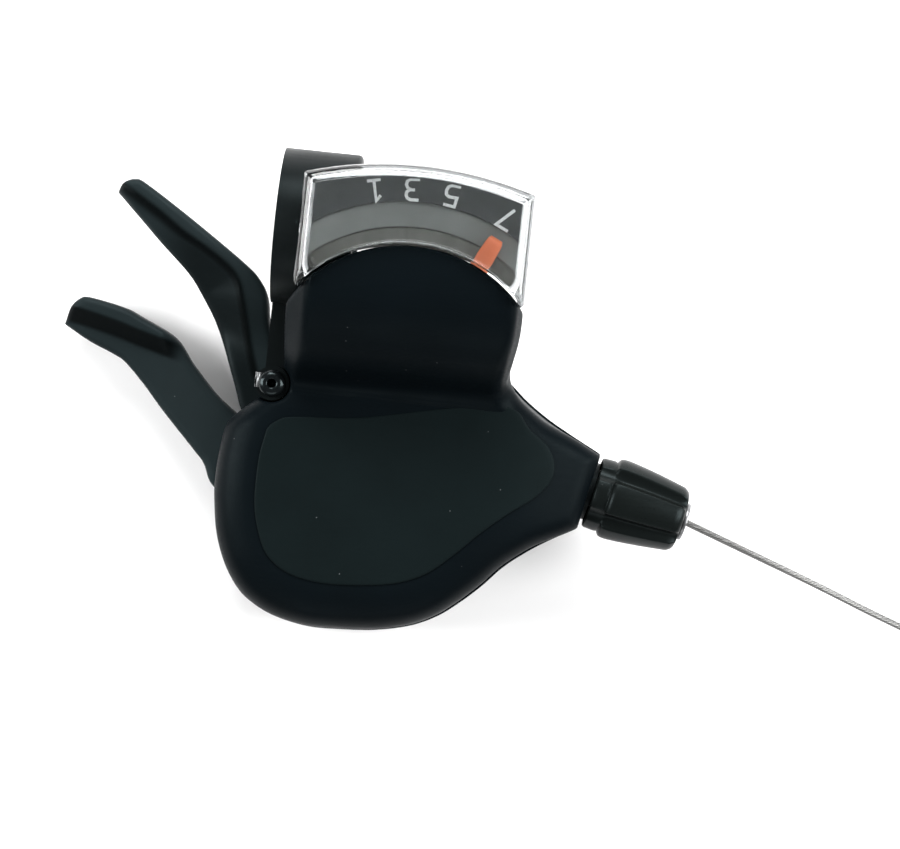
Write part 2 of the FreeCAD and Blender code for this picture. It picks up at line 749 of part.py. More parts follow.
def make_drum():
    body = cylinder("drum_radius", "drum_low", "drum_high")
    crank = polar(size("drum_crank"), DRUM_CRANK_REST)
    pin = cylinder("0.8", "drum_high - 1", "-2.6", str(crank[0]), str(crank[1]))
    groove = ring("drum_radius + 1", "groove_radius - wire_radius - 0.05",
                  "cable_level - 0.8", "cable_level + 0.8")
    pocket = ring("9.9", "7.5", "drum_high - 3", "drum_high + 1")
    bore = cylinder("axle_radius + bearing_gap", "-30", "0")
    seat = box(("-15", "-1"), ("groove_radius - 2.1", "groove_radius + 4"),
               ("cable_level - 2.1", "cable_level + 2.1"))
    seat.Placement.Rotation = FreeCAD.Rotation(UP, SLOPE)
    corner = FreeCAD.Rotation(UP, SLOPE).multVec(FreeCAD.Vector(-15, size("groove_radius") - 2.1, 0))
    shift(seat, str(corner.x), str(corner.y), "cable_level - 2.1")
    node(at_axle(cut(fuse(body, pin), groove, pocket, bore, seat)), "cable_drum")

    plate = cut(prism(ratchet_edges(), "ratchet_low", "drum_low"),
                cylinder("axle_radius + bearing_gap", "-30", "0"))
    node(at_axle(plate), "ratchet_plate")


def make_cable_head():
    head = shape_on_tangent("2.0", -5.1, -1.1)
    stub = shape_on_tangent("wire_radius", -1.5, -0.1)
    node(fuse(head, stub), "cable_head")


def shape_on_tangent(radius, start, end):
    """Cylinder on the wire's line, between two distances from where it leaves the drum."""
    reach = size("barrel_reach")
    return shape_along_barrel(radius, start - reach, end - reach)


def make_pawls():
    outer = 18.4
    crest = size("tooth_tip") + size("pawl_gap")
    radius, angle = FEED_PIVOT
    pivot = polar(radius, angle)
    arm = prism(sector_edges(16.2, outer, angle, FEED_NOSE), "-16.1", "-14.7")
    nose = prism(sector_edges(crest, outer, FEED_NOSE - 3, FEED_NOSE), "-16.1", "-14.7")
    boss = cylinder("2.85", "-16.1", "-14.7", str(pivot[0]), str(pivot[1]))
    bore = cylinder("pawl_pin + bearing_gap", "-30", "0", str(pivot[0]), str(pivot[1]))
    node(at_axle(cut(fuse(arm, nose, boss), bore)), "feed_pawl")
    place = polar(*FEED_PIVOT, AXLE)
    node(cylinder("pawl_pin", "lever_low", "-12.2", str(place[0]), str(place[1])), "feed_pawl_pin")

    radius, angle = HOLD_PIVOT
    pivot = polar(radius, angle)
    arm = prism(sector_edges(15.5, 17.9, angle + 2, HOLD_NOSE), "-16.1", "-14.7")
    nose = prism(sector_edges(crest, 17.9, HOLD_NOSE - 3, HOLD_NOSE), "-16.1", "-14.7")
    boss = cylinder("2.85", "-17.9", "-14.7", str(pivot[0]), str(pivot[1]))
    tail = box(("9.8", str(radius)), ("-1.3", "1.3"), ("-17.9", "-16.5"))
    tail.Placement.Rotation = FreeCAD.Rotation(UP, angle)
    corner = FreeCAD.Rotation(UP, angle).multVec(FreeCAD.Vector(9.8, -1.3, 0))
    shift(tail, str(corner.x), str(corner.y), "-17.9")
    bore = cylinder("pawl_pin + bearing_gap", "-30", "0", str(pivot[0]), str(pivot[1]))
    node(at_axle(cut(fuse(arm, nose, boss, tail), bore)), "hold_pawl")
    place = polar(*HOLD_PIVOT, AXLE)
    node(cylinder("pawl_pin", "base_low", "-9.4", str(place[0]), str(place[1])), "hold_pawl_pin")


# ---------------------------------------------------------------- levers

MAIN_UPPER = [(-7.5, -36.6), (-10.4, -34.6), (-13.9, -32.2), (-16.8, -29.8), (-20.9, -25.4), (-24.6, -21.0),
              (-31.0, -17.9), (-34.4, -16.5), (-40.7, -15.3), (-42.6, -15.8), (-44.1, -17.6), (-45.1, -20.6)]
MAIN_LOWER = [(-45.1, -20.6), (-40.0, -23.3), (-35.8, -25.0), (-33.3, -26.4), (-29.4, -30.2), (-25.9, -34.1),
              (-19.3, -40.8), (-17.2, -43.1), (-15.6, -46.4), (-12.6, -48.6), (-7.8, -50.0)]
RELEASE_UPPER = [(-3.4, -27.2), (-5.6, -22.6), (-7.4, -16.9), (-8.2, -12.4), (-9.9, -9.4), (-13.0, -6.6),
                 (-22.9, 0.1), (-31.4, 5.4), (-33.6, 6.1), (-35.6, 5.3), (-36.6, 3.5)]
RELEASE_LOWER = [(-36.6, 3.5), (-32.7, -0.2), (-27.9, -4.8), (-22.6, -9.7), (-19.6, -13.8), (-17.3, -17.5),
                 (-15.0, -22.4), (-12.5, -28.7), (-11.1, -32.4), (-9.0, -35.2)]


def lever_edges(upper, lower, inner_radius):
    """Lever outline in plan: two smooth edges that meet at the tip, and an arc round the axle at the root."""
    middle = polar(inner_radius, math.degrees(math.atan2(
        (upper[0][1] + lower[-1][1]) / 2 - AXLE[1], (upper[0][0] + lower[-1][0]) / 2 - AXLE[0])), AXLE)
    return smooth_edges(upper, lower) + [arc_edge(lower[-1], middle, upper[0])]


def make_main_lever():
    edges = lever_edges(MAIN_UPPER, MAIN_LOWER, 23.6)
    root = prism(edges, "-23.7", "-18.6")
    blade = common(prism(edges, "-26", "-18.2"), box(("-60", "-24"), ("-60", "0"), ("-27", "-10")))
    steel_room = at_axle(plate_arm(31.0, 11.0, 171.5, "lever_low", "lever_high"))
    lever = cut(fuse(root, blade), steel_room)
    node(lever, "main_lever")

    arm = at_axle(plate_arm(31.0, 11.0, 171.5, "lever_low", "lever_high"))
    radius, angle = FEED_PIVOT
    pivot = polar(radius, angle)
    lobe = cylinder("3.2", "lever_low", "lever_high", str(pivot[0]), str(pivot[1]))
    reach = plate_arm(radius, 6.0, angle, "lever_low", "lever_high")
    hub = fuse(cylinder("8.5", "lever_low", "lever_high"), lobe, reach)
    plate = fuse(arm, at_axle(hub))
    place = polar(radius, angle, AXLE)
    bores = [
        cylinder("axle_radius + bearing_gap", "-30", "0", "axle_x", "axle_y"),
        cylinder("pawl_pin", "-30", "0", str(place[0]), str(place[1])),
    ]
    node(cut(plate, *bores), "main_lever_plate")


def plate_arm(length, width, angle, low, high):
    """Straight arm about the Z axis, pointing at an angle."""
    half = width / 2
    corners = [(0, -half), (length, -half), (length, half), (0, half)]
    turn = FreeCAD.Rotation(UP, angle)
    points = [turn.multVec(FreeCAD.Vector(x, y, 0)) for x, y in corners]
    return prism(polygon_edges([(point.x, point.y) for point in points]), low, high)


def make_release_lever():
    edges = lever_edges(RELEASE_UPPER, RELEASE_LOWER, 24.5)
    root = common(prism(edges, "-17.9", "-13"), box(("-19", "5"), ("-60", "-12"), ("-20", "-10")))
    blade = common(prism(edges, "-15.6", "-8"), box(("-60", "-7.2"), ("-20", "20"), ("-20", "0")))
    steel_room = at_axle(plate_arm(31.0, 9.0, 146.0, "release_low", "release_high"))
    node(cut(fuse(root, blade), steel_room), "release_lever")

    arm = plate_arm(31.0, 9.0, 146.0, "release_low", "release_high")
    hub = cylinder("8", "release_low", "release_high")
    horn = prism(sector_edges(6, 10.6, -34, -17.2), "release_low", "release_high")
    bore = cylinder("axle_radius + bearing_gap", "-30", "0")
    node(at_axle(cut(fuse(arm, hub, horn), bore)), "release_lever_plate")


# ---------------------------------------------------------------- springs

def make_springs():
    hold = polar(*HOLD_PIVOT, AXLE)
    feed = polar(*FEED_PIVOT, AXLE)
    post = STANDOFFS[1]
    springs = [
        ("drum_spring", coil("8.7", "0.35", 1.8, "1.1"), AXLE, -10.0),
        ("main_lever_spring", coil("6.4", "0.5", 2, "1.1"), AXLE, -24.9),
        ("release_lever_spring", coil("2.8", "0.4", 5, "1.0"), post, -15.0),
        ("hold_pawl_spring", coil("2.1", "0.3", 4, "0.8"), hold, -14.2),
        ("feed_pawl_spring", coil("2.0", "0.2", 3, "0.6"), feed, -14.4),
    ]
    for label, spring, place, level in springs:
        spring.Placement.Base = vector(place, level)
        node(spring, label)
    detent = coil("4.4", "0.3", 3, "1.3")
    start = vector(polar(0.5, SLOPE, BARREL), size("cable_level"))
    detent.Placement = FreeCAD.Placement(start, ALONG_BARREL)
    node(detent, "adjuster_spring")


# ---------------------------------------------------------------- barrel adjuster and shift wire

def make_adjuster():
    collar = cylinder("6.4", "knob_start", "3")
    barrel = cone("knob_radius", "knob_end_radius", "2.8", "knob_end")
    grooves = []
    for step in range(5):
        x, y = polar(size("knob_radius") + 0.7, 72 * step)
        grooves.append(cylinder("2.0", "2.7", "knob_end + 1", str(x), str(y)))
    bore = cylinder("insert_radius + bearing_gap", "6.8", "20")
    room = cylinder("5.3", "-1", "5.4")
    stem_bore = cylinder("stem_radius", "0", "10")
    node(in_barrel(cut(fuse(collar, barrel), bore, room, stem_bore, *grooves)), "adjuster_knob")

    stem = cut(cylinder("stem_radius", "-9", "6.8"), cylinder("1.0", "-20", "20"))
    node(in_barrel(stem), "adjuster_stem")

    sleeve = fuse(cylinder("insert_radius", "7.2", "insert_end"),
                  cylinder("insert_lip", "knob_end + 0.1", "insert_end"))
    insert = cut(sleeve, cylinder("insert_bore", "9", "20"), cylinder("1.3", "5", "20"))
    node(in_barrel(insert), "adjuster_insert")


WIRE_HEADING = -19.8
# Free wire: distance from the barrel's mouth along its heading, sideways drift, and level.
WIRE_RUN = [(-1.5, 0.0, -11.6), (10.5, 0.0, -12.2), (26.0, 0.1, -15.6), (41.0, -0.2, -21.4),
            (52.0, 0.1, -25.6), (60.4, 0.0, -27.0)]
COIL_CENTRE = (136.8, -50.2)
COIL_OUTER = 18.2
COIL_INNER = 10.4
COIL_LOW = -27.6
COIL_HIGH = -22.8


def wire_route():
    mouth = polar(size("insert_end"), SLOPE, BARREL)
    points = []
    for along, aside, level in WIRE_RUN:
        x, y = polar(along, WIRE_HEADING, mouth)
        x, y = polar(aside, WIRE_HEADING + 90, (x, y))
        points.append(FreeCAD.Vector(x, y, level))
    return points


def rounded_path(points):
    """Straight runs joined by tangent arcs, each arc as large as its two runs allow."""
    edges = []
    start = points[0]
    radii = []
    for before, corner, after in zip(points, points[1:], points[2:]):
        back, forward = (before - corner), (after - corner)
        shorter = min(back.Length, forward.Length)
        turn = math.pi - back.getAngle(forward)
        trim = 0.45 * shorter
        radii.append(trim / math.tan(turn / 2))
        back.normalize()
        forward.normalize()
        enter, leave = corner + back * trim, corner + forward * trim
        inward = (back + forward).normalize()
        bisector = radii[-1] * (1 / math.cos(turn / 2) - 1)
        edges.append(Part.LineSegment(start, enter).toShape())
        edges.append(Part.Arc(enter, corner + inward * bisector, leave).toShape())
        start = leave
    edges.append(Part.LineSegment(start, points[-1]).toShape())
    return Part.Wire(edges), radii


def make_wire():
    node(shape_on_tangent("wire_radius", 0.1, 50.0), "shift_wire_inner")

    points = wire_route()
    path, radii = rounded_path(points)
    radius = size("wire_radius")
    circle = Part.Wire(Part.makeCircle(radius, points[0], points[1] - points[0]))
    tube = path.makePipeShell([circle], True, False)
    print("wire bend radii", [round(value, 1) for value in radii])
    print("wire volume ratio", tube.Volume / (math.pi * radius**2 * path.Length))
    node(shape_feature(tube, "FreeWire"), "shift_wire_free")

    x, y = COIL_CENTRE
    outer = cylinder(str(COIL_OUTER), str(COIL_LOW), str(COIL_HIGH), str(x), str(y))
    inner = cylinder(str(COIL_INNER), str(COIL_LOW - 1), str(COIL_HIGH + 1), str(x), str(y))
    node(cut(outer, inner), "shift_wire_coil")
    strap = box((str(x - 2), str(x + 2)), (str(y + COIL_INNER - 0.7), str(y + COIL_OUTER + 0.5)),
                (str(COIL_LOW - 0.4), str(COIL_HIGH + 0.4)))
    room = box((str(x - 3), str(x + 3)), (str(y + COIL_INNER - 0.3), str(y + COIL_OUTER + 0.1)),
               (str(COIL_LOW), str(COIL_HIGH)))
    node(cut(strap, room), "coil_tie")


# ---------------------------------------------------------------- build, check and write

def check_and_write():
    doc.recompute()
    for thing in doc.Objects:
        if "Invalid" in thing.State or "Error" in thing.State:
            raise SystemExit(f"{thing.Label} ({thing.Name}) failed: {thing.State}")
    os.makedirs("parts", exist_ok=True)
    for thing in NODES:
        if thing.Shape.isNull() or not thing.Shape.isValid() or not thing.Shape.Solids:
            raise SystemExit(f"{thing.Label} has no valid solid")
        thing.Shape.exportStep(f"parts/{thing.Label}.step")
    print(len(NODES), "nodes written")


make_bracket()
make_clamp_bolt()
make_covers()
make_cover_screws()
make_indicator()
make_needle()
make_needle_link()
make_axle_stack()
make_base_plate()
make_drum()
make_cable_head()
make_pawls()
make_main_lever()
make_release_lever()
make_springs()
make_adjuster()
make_wire()
check_and_write()
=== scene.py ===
"""Right-hand thumb shifter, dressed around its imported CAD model.

Every length below is in millimetres in the shifter's own frame (origin in the clamp's bore, +X along
the handlebar, +Y to the rider, +Z up the lever axle) and is turned into metres as a mesh is made.
"""

import math

import bmesh
import bpy
import numpy as np
from mathutils import Euler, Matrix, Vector


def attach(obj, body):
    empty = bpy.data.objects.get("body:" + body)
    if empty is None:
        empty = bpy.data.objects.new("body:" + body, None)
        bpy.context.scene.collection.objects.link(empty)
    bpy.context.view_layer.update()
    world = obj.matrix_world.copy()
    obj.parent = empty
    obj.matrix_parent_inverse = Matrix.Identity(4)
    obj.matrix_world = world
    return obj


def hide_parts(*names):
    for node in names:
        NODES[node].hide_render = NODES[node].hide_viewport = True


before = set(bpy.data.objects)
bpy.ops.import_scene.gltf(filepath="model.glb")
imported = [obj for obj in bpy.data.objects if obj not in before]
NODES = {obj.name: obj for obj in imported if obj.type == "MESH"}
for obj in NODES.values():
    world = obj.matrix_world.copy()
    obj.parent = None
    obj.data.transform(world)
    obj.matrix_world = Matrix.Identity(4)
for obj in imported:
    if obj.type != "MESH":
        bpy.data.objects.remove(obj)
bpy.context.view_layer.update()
MM = 0.001


# ---------------------------------------------------------------- plane geometry

def polar(radius, degrees, start=(0.0, 0.0)):
    angle = math.radians(degrees)
    return (start[0] + radius * math.cos(angle), start[1] + radius * math.sin(angle))


def smooth_run(points, steps=6):
    """A Catmull-Rom curve through a run of points."""
    run = np.asarray(points, float)
    run = np.vstack([2 * run[0] - run[1], run, 2 * run[-1] - run[-2]])
    result = []
    for before, here, after, later in zip(run, run[1:], run[2:], run[3:]):
        for t in np.arange(steps) / steps:
            result.append(0.5 * (2 * here + (after - before) * t
                                 + (2 * before - 5 * here + 4 * after - later) * t**2
                                 + (3 * here - before - 3 * after + later) * t**3))
    result.append(run[-2])
    return np.array(result)


def smooth_loop(points, steps=6):
    """A closed Catmull-Rom curve through a ring of points."""
    ring = np.asarray(points, float)
    padded = np.vstack([ring[-2:], ring, ring[:2]])
    return smooth_run(padded, steps)[2 * steps:-2 * steps - 1]


def table(places, values):
    """A smooth function of one variable through the given values."""
    curve = smooth_run(np.column_stack([places, values]), 12)
    order = np.argsort(curve[:, 0])
    return lambda at: np.interp(at, curve[order, 0], curve[order, 1])


# The clamp, axle and barrel, as the CAD has them.
AXLE = (16.4, -44.8)
NEEDLE = (17.5, -27.5)
NEEDLE_REST = 25.7
WINDOW_RADIUS = 25.2
PORT = (-5.2, -27.5)
CABLE_LEVEL = -11.6
BARREL_SLOPE = -12.0
BARREL = polar(34.6, BARREL_SLOPE, polar(11.6, BARREL_SLOPE + 90, AXLE))
MOUTH = 17.6
FLOOR = -28.0
PARTING = -16.0
BAND_ROOM = 13.6
BAND_HALF = 6.9
# The camera's height in metres, and the width that it sees at the clamp's level.
CAMERA_HEIGHT = 0.5
VIEW_WIDTH = 0.1565


# ---------------------------------------------------------------- camera, light and floor

def aim(thing, target):
    thing.rotation_euler = (Vector(target) - thing.location).to_track_quat("-Z", "Y").to_euler()


def make_camera():
    """Straight above the shifter, which lies turned a little clockwise in the picture."""
    data = bpy.data.cameras.new("Camera")
    data.sensor_width = 36.0
    data.lens = data.sensor_width * CAMERA_HEIGHT / VIEW_WIDTH
    camera = bpy.data.objects.new("Camera", data)
    camera.location = (0.0264, -0.0314, CAMERA_HEIGHT)
    camera.rotation_euler = Euler((0, 0, math.radians(6)))
    bpy.context.scene.collection.objects.link(camera)
    bpy.context.scene.camera = camera


def make_light(name, place, target, width, depth, power):
    data = bpy.data.lights.new(name, "AREA")
    data.shape = "RECTANGLE"
    data.size = width
    data.size_y = depth
    data.energy = power
    light = bpy.data.objects.new(name, data)
    light.location = place
    aim(light, target)
    bpy.context.scene.collection.objects.link(light)


def make_studio():
    world = bpy.data.worlds.new("Studio")
    world.use_nodes = True
    world.node_tree.nodes["Background"].inputs["Color"].default_value = (1, 1, 1, 1)
    world.node_tree.nodes["Background"].inputs["Strength"].default_value = 0.22
    bpy.context.scene.world = world
    bpy.context.scene.view_settings.view_transform = "Standard"
    centre = (0.02, -0.03, -0.02)
    make_light("LeftBox", (-0.62, 0.02, 0.36), centre, 0.35, 0.5, 7.5)
    make_light("RightBox", (0.62, 0.05, 0.36), centre, 0.35, 0.5, 7.5)
    make_light("FrontBox", (0.0, -0.66, 0.34), centre, 0.6, 0.25, 1.2)
    make_light("RiderBox", (0.05, 0.6, 0.4), centre, 0.7, 0.3, 10.5)

    mesh = bpy.data.meshes.new("Floor")
    edge = 6.0
    corners = [(-edge, -edge), (edge, -edge), (edge, edge), (-edge, edge)]
    mesh.from_pydata([(x, y, FLOOR * MM - 0.0002) for x, y in corners], [], [(0, 1, 2, 3)])
    floor = bpy.data.objects.new("Floor", mesh)
    bpy.context.scene.collection.objects.link(floor)
    floor.data.materials.append(plain("FloorPaper", (0.93, 0.93, 0.93), 0.8))


# ---------------------------------------------------------------- materials

class Shader:
    """A Principled material with short calls for the nodes that vary over a surface."""

    def __init__(self, name, colour, roughness, metallic=0.0, **sockets):
        self.material = bpy.data.materials.new(name)
        self.material.use_nodes = True
        self.nodes = self.material.node_tree.nodes
        self.links = self.material.node_tree.links
        self.surface = self.nodes["Principled BSDF"]
        self.surface.inputs["Base Color"].default_value = (*colour, 1)
        self.surface.inputs["Roughness"].default_value = roughness
        self.surface.inputs["Metallic"].default_value = metallic
        for socket, value in sockets.items():
            self.surface.inputs[socket.replace("_", " ")].default_value = value
        self.place = self.nodes.new("ShaderNodeTexCoord").outputs["Object"]

    def node(self, kind, inputs=(), **settings):
        made = self.nodes.new("ShaderNode" + kind)
        for name, value in settings.items():
            setattr(made, name, value)
        for name, value in dict(inputs).items():
            if isinstance(value, bpy.types.NodeSocket):
                self.links.new(value, made.inputs[name])
            else:
                made.inputs[name].default_value = value
        return made

    def noise(self, size_mm, detail=4.0, stretch=(1, 1, 1)):
        """Noise whose features are about this many millimetres across."""
        mapped = self.node("Mapping", {"Vector": self.place, "Scale": stretch})
        noise = self.node("TexNoise", {"Vector": mapped.outputs[0], "Scale": 1000 / size_mm,
                                       "Detail": detail})
        return noise.outputs["Fac"]

    def ramp(self, value, low, high, low_value=0.0, high_value=1.0):
        made = self.node("MapRange", {"Value": value, "From Min": low, "From Max": high,
                                      "To Min": low_value, "To Max": high_value})
        return made.outputs[0]

    def mix(self, factor, first, second):
        made = self.node("Mix", {0: factor}, data_type="RGBA")
        for socket, value in ((6, first), (7, second)):
            if isinstance(value, bpy.types.NodeSocket):
                self.links.new(value, made.inputs[socket])
            else:
                made.inputs[socket].default_value = (*value, 1)
        return made.outputs[2]

    def math(self, operation, first, second):
        return self.node("Math", {0: first, 1: second}, operation=operation).outputs[0]

    def colour(self, value):
        self.links.new(value, self.surface.inputs["Base Color"])

    def roughness(self, value):
        self.links.new(value, self.surface.inputs["Roughness"])

    def bump(self, height, distance_mm, strength=1.0):
        made = self.node("Bump", {"Height": height, "Distance": distance_mm * MM, "Strength": strength})
        self.links.new(made.outputs[0], self.surface.inputs["Normal"])


# Name of the vertex attribute that holds painted shade: how much darker the levers' base colour is made on
# their shaded slopes.
PAINTED_SHADE_ATTRIBUTE = "PaintedShade"


def plain(name, colour, roughness):
    """Matt stock with a faint mottle."""
    shader = Shader(name, colour, roughness)
    mottle = shader.ramp(shader.noise(60), 0.3, 0.7)
    shader.colour(shader.mix(mottle, colour, [0.985 * part for part in colour]))
    return shader.material


def moulded(name, colour, roughness=0.42, grain=0.35, dust=0.6, sheen=0.055, darker_tone=False):
    """Moulded black plastic: fine spark grain, cloudy sheen, hairline scratches, specks of dust, and on
    request painted shade read from a vertex attribute.
    """
    shader = Shader(name, colour, roughness, Specular_IOR_Level=sheen,
                    Specular_Tint=(0.78, 0.97, 1.0, 1.0))
    cloud = shader.noise(14, 3)
    fine = shader.noise(grain, 2)
    streak = shader.noise(5, 2, (1, 14, 3))
    smear = shader.math("ADD", shader.ramp(cloud, 0.3, 0.7, -0.05, 0.05),
                        shader.ramp(streak, 0.35, 0.7, -0.02, 0.04))
    shader.roughness(shader.math("ADD", smear, shader.ramp(fine, 0.2, 0.8, roughness - 0.03,
                                                          roughness + 0.05)))
    cells = shader.node("TexVoronoi", {"Vector": shader.place, "Scale": 1000 / 2.6, "Randomness": 1.0})
    speck = shader.ramp(cells.outputs["Distance"], 0.05, 0.03)
    chosen = shader.node("SeparateColor", {"Color": cells.outputs["Color"]})
    speck = shader.math("MULTIPLY", speck, shader.ramp(chosen.outputs[0], 0.72, 0.74, 0.0, dust))
    bright = [min(1.0, 3.5 * part + 0.08) for part in colour]
    shade = [0.82 * part for part in colour]
    body = shader.mix(shader.ramp(cloud, 0.35, 0.65), colour, shade)
    # Painted shade: the base colour is darkened to a tenth where the attribute marks the surface as lying in
    # shade.
    if darker_tone:
        painted_shade_amount = shader.node("Attribute", attribute_name=PAINTED_SHADE_ATTRIBUTE).outputs["Fac"]
        body = shader.mix(painted_shade_amount, body, [0.1 * part for part in colour])
    shader.colour(shader.mix(speck, body, bright))
    shader.bump(fine, 0.012, 0.5)
    return shader.material


def steel(name, colour, roughness, brush_mm=0.3, stretch=(1, 1, 12)):
    """Plated or bare steel with drawn or stamped marks."""
    shader = Shader(name, colour, roughness, metallic=1.0)
    marks = shader.noise(brush_mm, 3, stretch)
    cloud = shader.noise(6, 3)
    shader.roughness(shader.math("ADD", shader.ramp(marks, 0.3, 0.7, -0.06, 0.08),
                                 shader.ramp(cloud, 0.3, 0.7, roughness - 0.04, roughness + 0.04)))
    darker_tone = [0.72 * part for part in colour]
    shader.colour(shader.mix(shader.ramp(cloud, 0.35, 0.7), colour, darker_tone))
    shader.bump(marks, 0.006, 0.6)
    return shader.material


def stranded(name):
    """Twisted steel strands: slanting grooves that follow the wire, from the curve's own lengthwise map."""
    shader = Shader(name, (0.36, 0.36, 0.355), 0.3, metallic=1.0)
    uv = shader.nodes.new("ShaderNodeTexCoord").outputs["UV"]
    split = shader.node("SeparateXYZ", {"Vector": uv})
    along = shader.math("MULTIPLY", split.outputs["X"], WIRE_LENGTH / 0.007)
    turn = shader.math("ADD", along, split.outputs["Y"])
    lobe = shader.math("SINE", shader.math("MULTIPLY", turn, 12 * 2 * math.pi), 0.0)
    height = shader.ramp(lobe, -1, 1)
    # Painted shade: the base colour is dark in the grooves between strands and light on their crowns.
    shader.colour(shader.mix(height, (0.055, 0.055, 0.054), (0.27, 0.27, 0.264)))
    shader.roughness(shader.ramp(height, 0, 1, 0.5, 0.26))
    shader.bump(height, 0.07, 0.7)
    return shader.material


# ---------------------------------------------------------------- pieces

def add_piece(piece, body, material):
    bpy.context.scene.collection.objects.link(piece)
    piece.data.materials.append(material)
    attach(piece, body)
    return piece


# ---------------------------------------------------------------- shift wire

WIRE_RADIUS = 0.6
WIRE_LENGTH = 2.0
WIRE_HEADING = -19.8
# Free wire: distance from the barrel's mouth along its heading, sideways drift, and level.
WIRE_RUN = [(-1.5, 0.0, -11.6), (10.5, 0.0, -12.2), (26.0, 0.1, -15.6), (41.0, -0.2, -21.4),
            (52.0, 0.1, -25.6), (60.4, 0.0, -27.0)]
COIL_CENTRE = (136.8, -50.2)
COIL_OUTER = 17.55
COIL_TURNS = 5.3
COIL_LEVEL = -26.98
LAYER_RISE = 1.21
TURN_SPACING = 1.215
POINTS_PER_TURN = 14


def wire_route():
    """The free wire's points, then the coil's: layers that spiral in and out by turns."""
    mouth = polar(MOUTH, BARREL_SLOPE, BARREL)
    points = []
    for along, aside, level in WIRE_RUN[:-1]:
        place = polar(aside, WIRE_HEADING + 90, polar(along, WIRE_HEADING, mouth))
        points.append(Vector((*place, level)))
    swell = 1 / math.cos(math.pi / POINTS_PER_TURN)
    step = 0
    length = sum((b - a).length for a, b in zip(points, points[1:]))
    while length < 1000 * WIRE_LENGTH:
        turns = step / POINTS_PER_TURN
        layer = int(turns / COIL_TURNS)
        inwards = turns / COIL_TURNS - layer
        if layer % 2:
            inwards = 1 - inwards
        climb = min(1, (turns - layer * COIL_TURNS) / 0.5) if layer else 1
        level = COIL_LEVEL + LAYER_RISE * (layer - 1 + climb)
        radius = (COIL_OUTER - TURN_SPACING * COIL_TURNS * inwards) * swell
        place = polar(radius, WIRE_HEADING - 90 + 360 * turns, COIL_CENTRE)
        points.append(Vector((*place, level)))
        length += (points[-1] - points[-2]).length / (swell if step else 1)
        step += 1
    return points


def make_wire():
    data = bpy.data.curves.new("ShiftWire", "CURVE")
    data.dimensions = "3D"
    spline = data.splines.new("NURBS")
    points = wire_route()
    spline.points.add(len(points) - 1)
    for made, point in zip(spline.points, points):
        made.co = (*(point * MM), 1)
    spline.order_u = 3
    spline.use_endpoint_u = True
    data.resolution_u = 6
    data.bevel_depth = WIRE_RADIUS * MM
    data.bevel_resolution = 2
    data.use_fill_caps = True
    wire = bpy.data.objects.new("ShiftWire", data)
    add_piece(wire, "housing", stranded("StrandedWire"))
    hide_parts("shift_wire_free", "shift_wire_coil")


# ---------------------------------------------------------------- solid fields, turned into meshes

def outline_distance(outline):
    """Signed distance to a closed outline in plan, negative inside, as a function of x and y."""
    start = np.asarray(outline, float)
    along = np.roll(start, -1, 0) - start
    span = np.maximum((along**2).sum(1), 1e-12)

    def distance(x, y):
        x, y = np.broadcast_arrays(np.asarray(x, float), np.asarray(y, float))
        result = np.empty(x.size)
        flat_x, flat_y = x.ravel(), y.ravel()
        for first in range(0, x.size, 20000):
            px = flat_x[first:first + 20000, None] - start[:, 0]
            py = flat_y[first:first + 20000, None] - start[:, 1]
            t = np.clip((px * along[:, 0] + py * along[:, 1]) / span, 0, 1)
            near = np.sqrt(((px - t * along[:, 0])**2 + (py - t * along[:, 1])**2).min(1))
            ahead = px * along[:, 1] - py * along[:, 0]
            rises = (py >= 0) & (py < along[:, 1]) & (ahead < 0)
            falls = (py < 0) & (py >= along[:, 1]) & (ahead > 0)
            crossings = (rises | falls).sum(1)
            result[first:first + 20000] = np.where(crossings % 2 == 1, -near, near)
        return result.reshape(x.shape)

    return distance


def blend_min(first, second, width):
    """Union of two fields, with a fillet of about this width."""
    overlap = np.maximum(width - np.abs(first - second), 0)
    return np.minimum(first, second) - overlap**2 / (4 * width)


def blend_max(first, second, width):
    """Common part of two fields, with its edge rounded over about this width."""
    return -blend_min(-first, -second, width)


def block(x, y, z, low, high):
    """Field of an upright box between two corners."""
    sides = [np.maximum(low[i] - at, at - high[i]) for i, at in enumerate((x, y, z))]
    return np.maximum(np.maximum(sides[0], sides[1]), sides[2])


def barrel_radius(x, y, z):
    """Distance from the barrel's axis, and how far along it, from the pod's face outwards."""
    east, north = polar(1, BARREL_SLOPE)
    along = (x - BARREL[0]) * east + (y - BARREL[1]) * north
    aside = (y - BARREL[1]) * east - (x - BARREL[0]) * north
    return np.hypot(aside, z - CABLE_LEVEL), along


def polished(field, points, rounds, reach):
    """Moves points onto the field's surface along its slope."""
    for _ in range(rounds):
        x, y, z = points.T
        value = field(x, y, z)
        slope = np.stack([field(x + 0.04, y, z) - field(x - 0.04, y, z),
                          field(x, y + 0.04, z) - field(x, y - 0.04, z),
                          field(x, y, z + 0.04) - field(x, y, z - 0.04)], 1) / 0.08
        steep = np.maximum((slope**2).sum(1), 0.2)
        move = -(value / steep)[:, None] * slope
        size = np.maximum(np.linalg.norm(move, axis=1, keepdims=True), 1e-9)
        points = points + move * np.minimum(1, reach / size)
    return points


